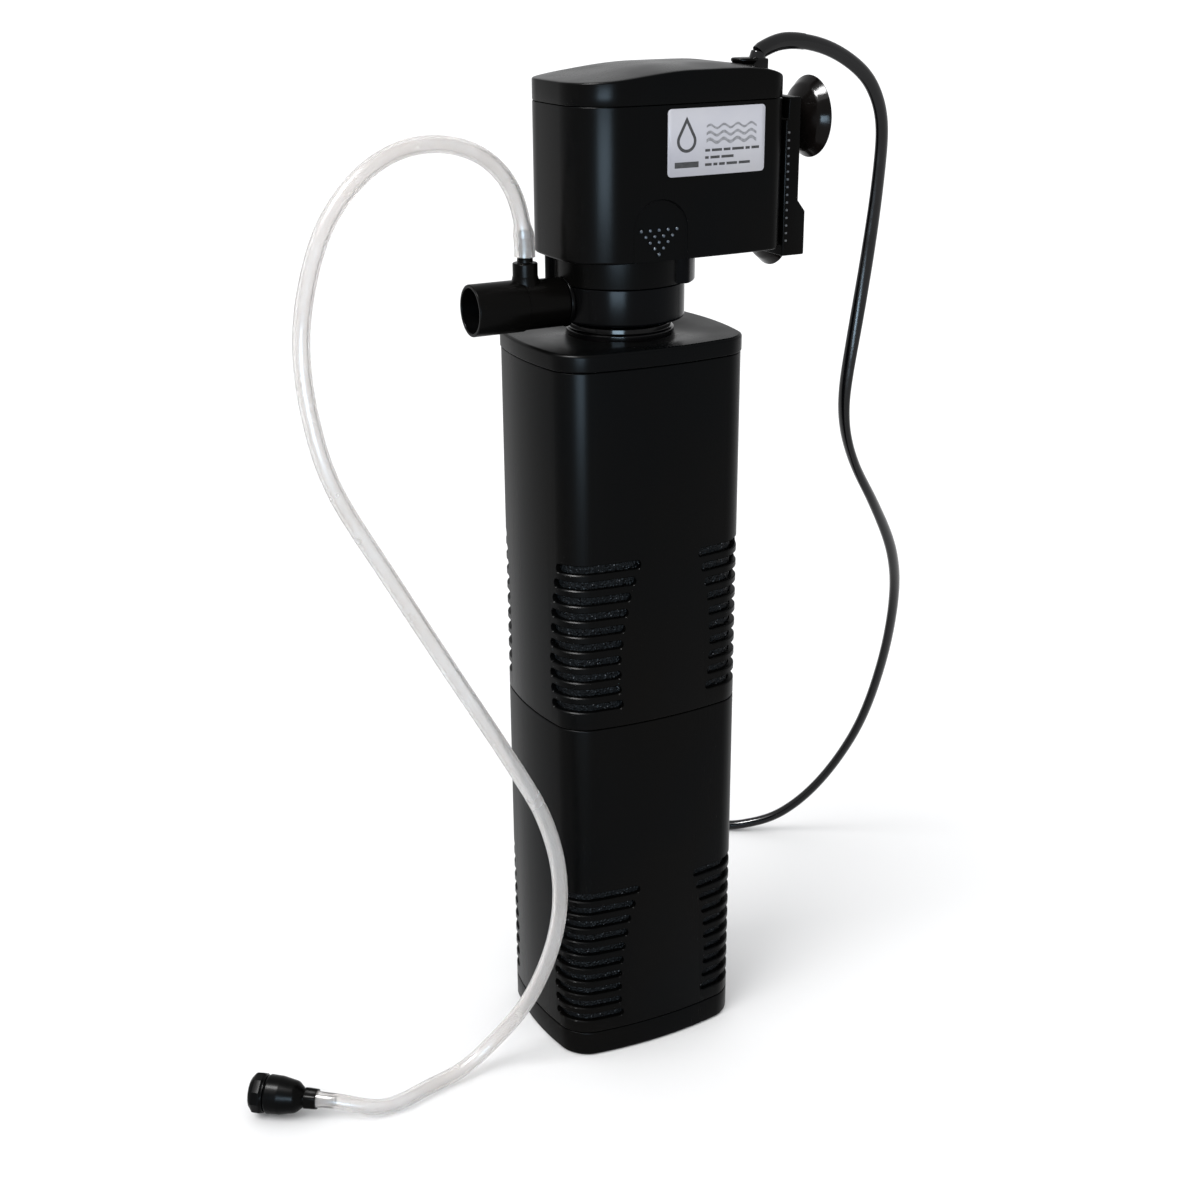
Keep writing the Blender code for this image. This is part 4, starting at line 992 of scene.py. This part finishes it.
def make_chamber():
    """A bowl on a short neck, with its outlet stub and the shaft's seat on a web across the inlet."""
    floor = CHAMBER_BOTTOM + 2.2
    inner = CHAMBER_RADIUS - 2.3
    bowl = turned("volute_bowl", [
        (inner, CHAMBER_TOP), (CHAMBER_RADIUS, CHAMBER_TOP, 0.3), (CHAMBER_RADIUS, CHAMBER_BOTTOM, 1.2),
        (17.2, CHAMBER_BOTTOM), (17.2, 322.3, 0.4), (15.0, 322.3, 0.4), (15.0, CHAMBER_BOTTOM),
        (8.0, CHAMBER_BOTTOM, 0.5), (8.0, floor, 0.5), (inner, floor, 1.5),
    ], CHAMBER_BLACK, steps=112, closed=True, curve=5)
    stub = turned("volute_stub", [
        (0, -STUB_END), (8.2, -STUB_END, 0.4), (8.2, -FLANGE_END), (9.9, -FLANGE_END, 0.5), (10.3, 25.2, 0.6),
        (8.6, 24.4), (8.6, 22.4), (0, 22.4),
    ], CHAMBER_BLACK, steps=64, curve=5, **OUTLET)
    bore = turned("volute_bore", rod(6.7, 60, 15), CHAMBER_BLACK, steps=64, **OUTLET)
    web = ((-9, 9), (-1.2, 1.2), (CHAMBER_BOTTOM + 0.3, floor - 0.3))
    spider = block("volute_spider", web, CHAMBER_BLACK, 0.3)
    low, high = CHAMBER_BOTTOM + 0.15, floor + 0.4
    shaft = [(0, high), (3.9, high, 0.4), (3.9, low, 0.4), (0, low)]
    hub = turned("volute_hub", shaft, CHAMBER_BLACK, steps=40)
    seat = turned("volute_seat", rod(2.7, floor + 2, CHAMBER_BOTTOM + 0.8), CHAMBER_BLACK, steps=40)
    join(bowl, stub)
    cut(bowl, bore)
    join(bowl, spider, hub)
    cut(bowl, seat)
    finish(bowl, "pump", "black_plastic", "pump_chamber")


def make_nozzle():
    """Sleeve with a rolled lip, a root ring and the boss of the air inlet."""
    step = -NOZZLE_STEP
    sleeve = turned("nozzle_sleeve", [
        (8.9, -NOZZLE_END, 0.35), (NOZZLE_RADIUS, -NOZZLE_END, 0.45), (NOZZLE_RADIUS, step, 0.3),
        (9.85, step - 0.2), (9.8, 26.9, 0.4), (8.5, 26.9), (8.5, 53), (8.9, 54),
    ], BLACK, steps=88, closed=True, curve=5, **OUTLET)
    upright = (0, NIPPLE_Y, 0)
    top = box("outlet_nozzle")[1].z
    boss = turned("nipple_boss", [
        (0, top), (5.0, top, 0.5), (5.0, 348.0, 1.2), (5.6, 345.6), (5.6, 343.8), (0, 343.8),
    ], BLACK, upright, steps=48, curve=5)
    bore = turned("nozzle_bore", rod(8.47, 50, 34), BLACK, steps=88, **OUTLET)
    hole = turned("nipple_hole", rod(1.6, 360, OUTLET_Z), BLACK, upright, steps=32)
    join(sleeve, boss)
    cut(sleeve, bore, hole)
    finish(sleeve, "nozzle", "black_plastic", "outlet_nozzle")
    foot = top + GAP - NIPPLE_TOP
    profile = [(1.2, 10.6), (2.0, 10.6, 0.3), (2.85, 8), (2.3, 7.8), (2.3, 5.2), (2.85, 3), (2.3, 2.8),
               (2.3, 0), (3.1, -0.1, 0.3), (3.2, foot), (1.2, foot)]
    nipple = turned("nipple_barb", profile, BLACK, (0, NIPPLE_Y, NIPPLE_TOP), steps=48, closed=True, curve=3)
    finish(nipple, "nozzle", "black_plastic", "air_nipple")


# ---------------------------------------------------------------- motor housing

def recess_cutter(name, side):
    """An arched finger recess that runs out over the housing's bottom edge, with a soft rim."""
    depth = 0.7
    foot = 340
    face = head_side_x(RECESS_Y)
    rings = []
    for x, grow in ((face - depth, -0.5), (face - depth * 0.4, -0.15), (face, 0.05), (face + 3, 1.0)):
        reach = RECESS_RADIUS + grow
        opening = arc(RECESS_Y, RECESS_Z, reach, 0, 180, 24)
        opening = [(RECESS_Y + reach, foot)] + opening + [(RECESS_Y - reach, foot)]
        rings.append([(side * x, y, z) for y, z in opening])
    return skin(name, rings, None)


def make_grip_dots(name, side):
    """Raised dots in the recess: rows of five down to one."""
    floor = head_side_x(RECESS_Y) - 0.75
    profile = [(0, 0.75), (0.62, 0.75, 0.5), (0.62, 0), (0, 0)]
    dots = []
    for row in range(5):
        z = RECESS_Z + 0.2 - 2.35 * row
        for k in range(5 - row):
            y = RECESS_Y - 0.4 + 3.95 * (k - (4 - row) / 2)
            # The dots take the lighter grey, whose colour is a painted glint
            dots.append(turned(f"dot_{row}_{k}", profile, PAINTED_GLINT_GREY, (side * floor, y, z), (side, 0, 0), 16))
    finish(merged(name, dots), "head", "black_plastic")


def lug_outline(middle):
    """A lug that swells out of the collar and sinks back into it, round the direction of its middle."""
    sunk = COLLAR_RADIUS - 0.3
    outside = []
    for i in range(33):
        turn = LUG_HALF_ANGLE * (i / 16 - 1)
        radius = sunk + (LUG_RADIUS - sunk) * eased((LUG_HALF_ANGLE - abs(turn)) / 9)
        outside += arc(0, 0, radius, middle + turn, middle + turn, 1)[:1]
    return outside + arc(0, 0, COLLAR_RADIUS - 2, middle + LUG_HALF_ANGLE, middle - LUG_HALF_ANGLE, 12)


def make_housing():
    """A hollow body on a collar with lugs, with the rotor's well, the bracket's rail and finger recesses."""
    floor, innermost = HEAD_BOTTOM + 2.4, 6.6
    profile = filleted([
        (innermost, HEAD_BOTTOM), (0, HEAD_BOTTOM, 1.1), (0, HEAD_SEAM, 0.3), (HEAD_WALL, HEAD_SEAM),
        (HEAD_WALL, floor, 1.5), (innermost, floor),
    ], 5)
    housing = skin("pump_housing", [level(head(inset), z) for inset, z in profile], BLACK)
    joint, low = HEAD_BOTTOM + 1, CHAMBER_TOP + GAP
    ring = [(0, joint), (COLLAR_RADIUS, joint), (COLLAR_RADIUS, low, 0.4), (0, low)]
    collar = turned("housing_collar", ring, CHAMBER_BLACK, steps=112)
    lugs = [prism(f"lug_{angle}", lug_outline(angle), low + 0.2, joint - 0.2, CHAMBER_BLACK, 0.5)
            for angle in (53, 233)]
    top = 394
    well = turned("rotor_well", [(0, top), (9.9, top, 0.8), (9.9, joint), (0, joint)], BLACK, steps=48)
    bore = turned("rotor_bore", rod(8.2, top - 2, CHAMBER_TOP - 5), BLACK, steps=48)
    rail = block("rail_web", ((-5, 5), (HEAD_REAR - 1, 62.6), RAIL_SPAN), BLACK, 0.3)
    rail_head = block("rail_head", ((-8, 8), (62.1, 63.9), RAIL_SPAN), BLACK, 0.3)
    join(housing, collar)
    join(housing, *lugs)
    join(housing, well, rail, rail_head)
    cut(housing, bore, recess_cutter("recess_right", 1), recess_cutter("recess_left", -1))
    finish(housing, "head", "black_plastic", "motor_housing")
    make_grip_dots("grip_dots_right", 1)
    make_grip_dots("grip_dots_left", -1)


def arch(y):
    """How far the cover's top edge is over COVER_EDGE: it climbs, stays level, and drops at the rear."""
    drop = max(0, y - 26) / 34.5
    return 0.6 + 3.7 * eased((y + 30) / 47) - 4.4 * drop ** 4


def edge_level(inset, below):
    return [(x, y, COVER_EDGE + arch(y) - below) for x, y in head(inset)]


def crown_level(scale):
    """A ring of the cover's top, which is nearly flat from side to side."""
    middle_y = 15
    points = [(x * scale, middle_y + (y - middle_y) * scale) for x, y in head()]
    return [(x, y, COVER_EDGE + arch(y) + COVER_CROWN * (1 - scale ** 2.5)) for x, y in points]


def make_cover():
    """Arched cover with a plug-in skirt: its side wall ends in a crisp edge, highest in the middle."""
    seam, skirt = HEAD_SEAM + GAP, HEAD_SEAM - 3.5
    walls = [(HEAD_WALL + 1.9, COVER_EDGE - 1.6), (HEAD_WALL + 1.9, skirt), (HEAD_WALL + GAP, skirt),
             (HEAD_WALL + GAP, seam), (0.35, seam), (0.12, seam + 0.08), (0, seam + 0.35), (0, seam + 4)]
    rings = [level(head(inset), z) for inset, z in walls]
    for inset, below in ((0, 0.75), (0.06, 0.42), (0.2, 0.17), (0.45, 0.03)):
        rings.append(edge_level(inset, below))
    rings += [crown_level(0.965 - 0.945 * i / 19) for i in range(20)]
    cover = skin("domed_cover", rings, BLACK)
    boss_y = GLAND[0].y - 1.8
    boss = turned("cover_boss", [
        (0, 427.8), (5.0, 427.8, 0.6), (5.0, 426.8, 0.3), (4.1, 425.4), (4.1, 423), (0, 423),
    ], POLISHED, (GLAND_X, boss_y, 0), steps=64, curve=5)
    # The boss is a slight oval, longer from front to rear.
    for vertex in boss.data.vertices:
        vertex.co.y = boss_y * MM + (vertex.co.y - boss_y * MM) * 1.12
    hole = turned("gland_hole", rod(3, 433, 410), BLACK, (GLAND_X, 54, 0), steps=40)
    join(cover, boss)
    cut(cover, hole)
    finish(cover, "head", "black_plastic", "housing_cover")


def make_gland():
    """Block on the cover with a raised collar that the cord comes out of, leaning back."""
    top = GLAND[1].z
    span = ((GLAND_X - 3.7, GLAND_X + 3.7), (GLAND[0].y, 58.0), (421.8, top))
    body = block("gland_block", span, POLISHED, 0.6, 4)
    shaft = [(0, 426.4), (2.7, 426.4), (2.7, 416, 0.4), (0, 416)]
    join(body, turned("gland_stem", shaft, POLISHED, (GLAND_X, 54, 0), steps=40))
    finish(body, "head", "gloss_black_plastic", "cable_gland")
    lean = Vector((0, 0.25, 0.97)).normalized()
    ring = [(0, 2.6), (3.1, 2.6, 0.6), (3.35, -0.6), (0, -0.6)]
    collar = turned("gland_collar", ring, CORD_JACKET, (GLAND_X, 54.9, top), lean, 48, curve=5)
    finish(collar, "head", "black_rubber")


def make_inner_parts():
    """The CAD solids that hardly show while the filter is together keep their shape, with rounded edges."""
    surfaces = {
        "lower_core_tube": BLACK, "upper_core_tube": BLACK, "lower_sponge": SPONGE, "upper_sponge": SPONGE,
        "impeller": POLISHED, "rotor_magnet": FERRITE, "rotor_shaft": CERAMIC, "stator_core": STEEL,
        "shaft_bush_lower": SEAL_RUBBER, "shaft_bush_upper": SEAL_RUBBER,
        "coil_winding_left": COPPER, "coil_winding_right": COPPER,
    }
    for name, material in surfaces.items():
        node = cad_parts[name]
        node.data.materials.clear()
        node.data.materials.append(material)
        bevel = node.modifiers.new("Round edges", "BEVEL")
        bevel.width = 0.25 * MM
        bevel.segments = 2
        bevel.limit_method = "ANGLE"
        bevel.angle_limit = radians(50)


# ---------------------------------------------------------------- label

def sliced(outline):
    """A flat shape given by (y, z), cut into upright strips so that it can follow a curved side."""
    bm = bmesh.new()
    bm.faces.new([bm.verts.new((0, y, z)) for y, z in outline])
    ys = [y for y, z in outline]
    low, high = min(ys), max(ys)
    cuts = int((high - low) / 2)
    for i in range(1, cuts + 1):
        place = (0, low + (high - low) * i / (cuts + 1), 0)
        geom = bm.verts[:] + bm.edges[:] + bm.faces[:]
        bmesh.ops.bisect_plane(bm, geom=geom, plane_co=place, plane_no=(0, 1, 0))
    return bm


def printed(name, outlines, proud, material):
    """Flat shapes laid on the housing's right side, standing proud of it by this much."""
    made = bmesh.new()
    for outline in outlines:
        bm = sliced(outline)
        for vertex in bm.verts:
            vertex.co.x = head_side_x(vertex.co.y) + proud
        mesh = bpy.data.meshes.new(name)
        bm.to_mesh(mesh)
        bm.free()
        made.from_mesh(mesh)
        bpy.data.meshes.remove(mesh)
    for face in made.faces:
        if face.normal.x < 0:
            face.normal_flip()
    return to_object(name, made, material)


def bar(y0, y1, z0, z1):
    return [(y0, z0), (y1, z0), (y1, z1), (y0, z1)]


def drop_outline(y, z, radius, height, steps):
    """A round drop whose tip is this far over its middle."""
    return arc(y, z, radius, 150, 390, steps) + [(y, z + height)]


def make_label():
    """A foil sheet with rounded corners."""
    low, high = box("rating_label")
    radius = 1.6
    left, right, bottom, top = low.y + radius, high.y - radius, low.z + radius, high.z - radius
    outline = []
    for i, (y, z) in enumerate(((right, top), (left, top), (left, bottom), (right, bottom))):
        outline += arc(y, z, radius, 90 * i, 90 * i + 90, 6)
    foil = printed("label_sheet", [outline], 0.42, LABEL)
    solid = foil.modifiers.new("Thickness", "SOLIDIFY")
    solid.thickness = 0.3 * MM
    solid.offset = -1
    finish(foil, "head", "label_foil", "rating_label")
    make_print(low.y, low.z)


def make_print(y, z):
    """A drop symbol, waves, a bar, and rows of dashes in place of any text, from the label's corner."""
    dashes = [bar(y + 3.0, y + 13.6, z + 3.2, z + 5.4)]
    rows = ((8.8, (2.2, 4.6, 3.1, 5.4, 2.0, 3.6)), (6.1, (1.6, 4.2, 5.6)), (3.4, (3.0, 1.8, 2.6, 4.9, 5.2)))
    for height, lengths in rows:
        at = y + 16.5
        for length in lengths:
            dashes.append(bar(at, at + length, z + height, z + height + 1.0))
            at += length + 0.8
    dark = [drop_outline(y + 8.2, z + 13.2, 4.3, 9.2, 24)] + dashes
    finish(printed("label_print_dark", dark, 0.45, INK), "head", "label_foil")
    hollow = drop_outline(y + 8.2, z + 13.2, 3.1, 6.7, 20)
    finish(printed("label_print_hollow", [hollow], 0.47, LABEL), "head", "label_foil")
    waves = []
    for row in range(3):
        upper = [(y + 17 + 0.5 * k, z + 13.4 + 2.6 * row + 0.7 * sin(k * 0.5)) for k in range(47)]
        lower = [(a, b - 1.3 + 0.2 * row) for a, b in upper[::-1]]
        waves.append(upper + lower)
    finish(printed("label_print_waves", waves, 0.45, PALE_INK), "head", "label_foil")


# ---------------------------------------------------------------- bracket and cups

def make_bracket():
    """A plate that slides on the housing's rail, with holes for the cups and index marks on both edges."""
    low, high = box("mounting_bracket")
    front, rear, spacer, half = low.y, 68.0, high.y + 1.0, high.x
    outline = [(front, low.z), (spacer, low.z), (spacer, 368), (rear, 372.5), (rear, high.z), (62.2, high.z),
               (62.2, 404.5), (front, 404.5)]
    plate = prism("bracket_plate", outline, -half, half, BLACK, 0.7, axis="X")
    cutters = [block("channel_head", ((-8.3, 8.3), (61.8, 64.2), (357.7, 420)), None, 0),
               block("channel_neck", ((-5.3, 5.3), (60, 62), (357.7, 420)), None, 0)]
    for name in ("upper", "lower"):
        middle = sum(box("suction_cup_" + name), Vector()) / 2
        place = (middle.x, 0, middle.z)
        cutters.append(turned("hole_" + name, rod(3.75, 80, 63.2), None, place, (0, 1, 0), 32))
    cut(plate, *cutters)
    finish(plate, "bracket", "black_plastic", "mounting_bracket")
    teeth = []
    for side in (-1, 1):
        across = sorted((side * (half - 0.2), side * (half + 0.45)))
        for i in range(15):
            z = 399.5 - 3.05 * i
            span = (across, (61.8, 62.8), (z - 0.45, z + 0.45))
            # The teeth take the lighter grey, whose colour is a painted glint
            teeth.append(block(f"tooth_{side}_{i}", span, PAINTED_GLINT_GREY, 0.2, 2))
    finish(merged("bracket_index_marks", teeth), "bracket", "black_plastic")


def make_cup(name):
    """A cup with a thin rim, ribs of thicker rubber and a mushroom button pressed into the bracket."""
    low, high = box("suction_cup_" + name)
    middle, radius, button = (low + high) / 2, (high.x - low.x) / 2, 63.5 - high.y
    cup = turned("sucker_" + name, [
        (0, -4.6), (5, -4.2, 3), (11, -2.2, 8), (radius - 0.6, -0.05), (radius - 0.1, 0), (radius, -0.35),
        (radius - 1.2, -1.6), (13.2, -4.0, 5), (8.6, -6.9, 3), (5.6, -8.4, 0.9), (3.4, -8.7, 0.3),
        (3.4, button, 0.4), (0, button),
    ], CUP_RUBBER, (middle.x, high.y, middle.z), (0, 1, 0), 96, curve=6)
    finish(cup, "bracket", "black_rubber", "suction_cup_" + name)


# ---------------------------------------------------------------- assembly

def build():
    make_stage()
    make_cords()
    make_base()
    make_canister("lower_sleeve", "lower_container", "lower_canister", BASE_TOP + GAP, MIDDLE_SEAM,
                  slots_from=BASE_TOP - 1)
    make_canister("upper_sleeve", "upper_container", "upper_canister", MIDDLE_SEAM + GAP, LID_SEAM,
                  slots_from=MIDDLE_SEAM + 1)
    make_lid()
    make_chamber()
    make_nozzle()
    make_housing()
    make_cover()
    make_gland()
    make_label()
    make_bracket()
    make_cup("upper")
    make_cup("lower")
    make_inner_parts()


build()
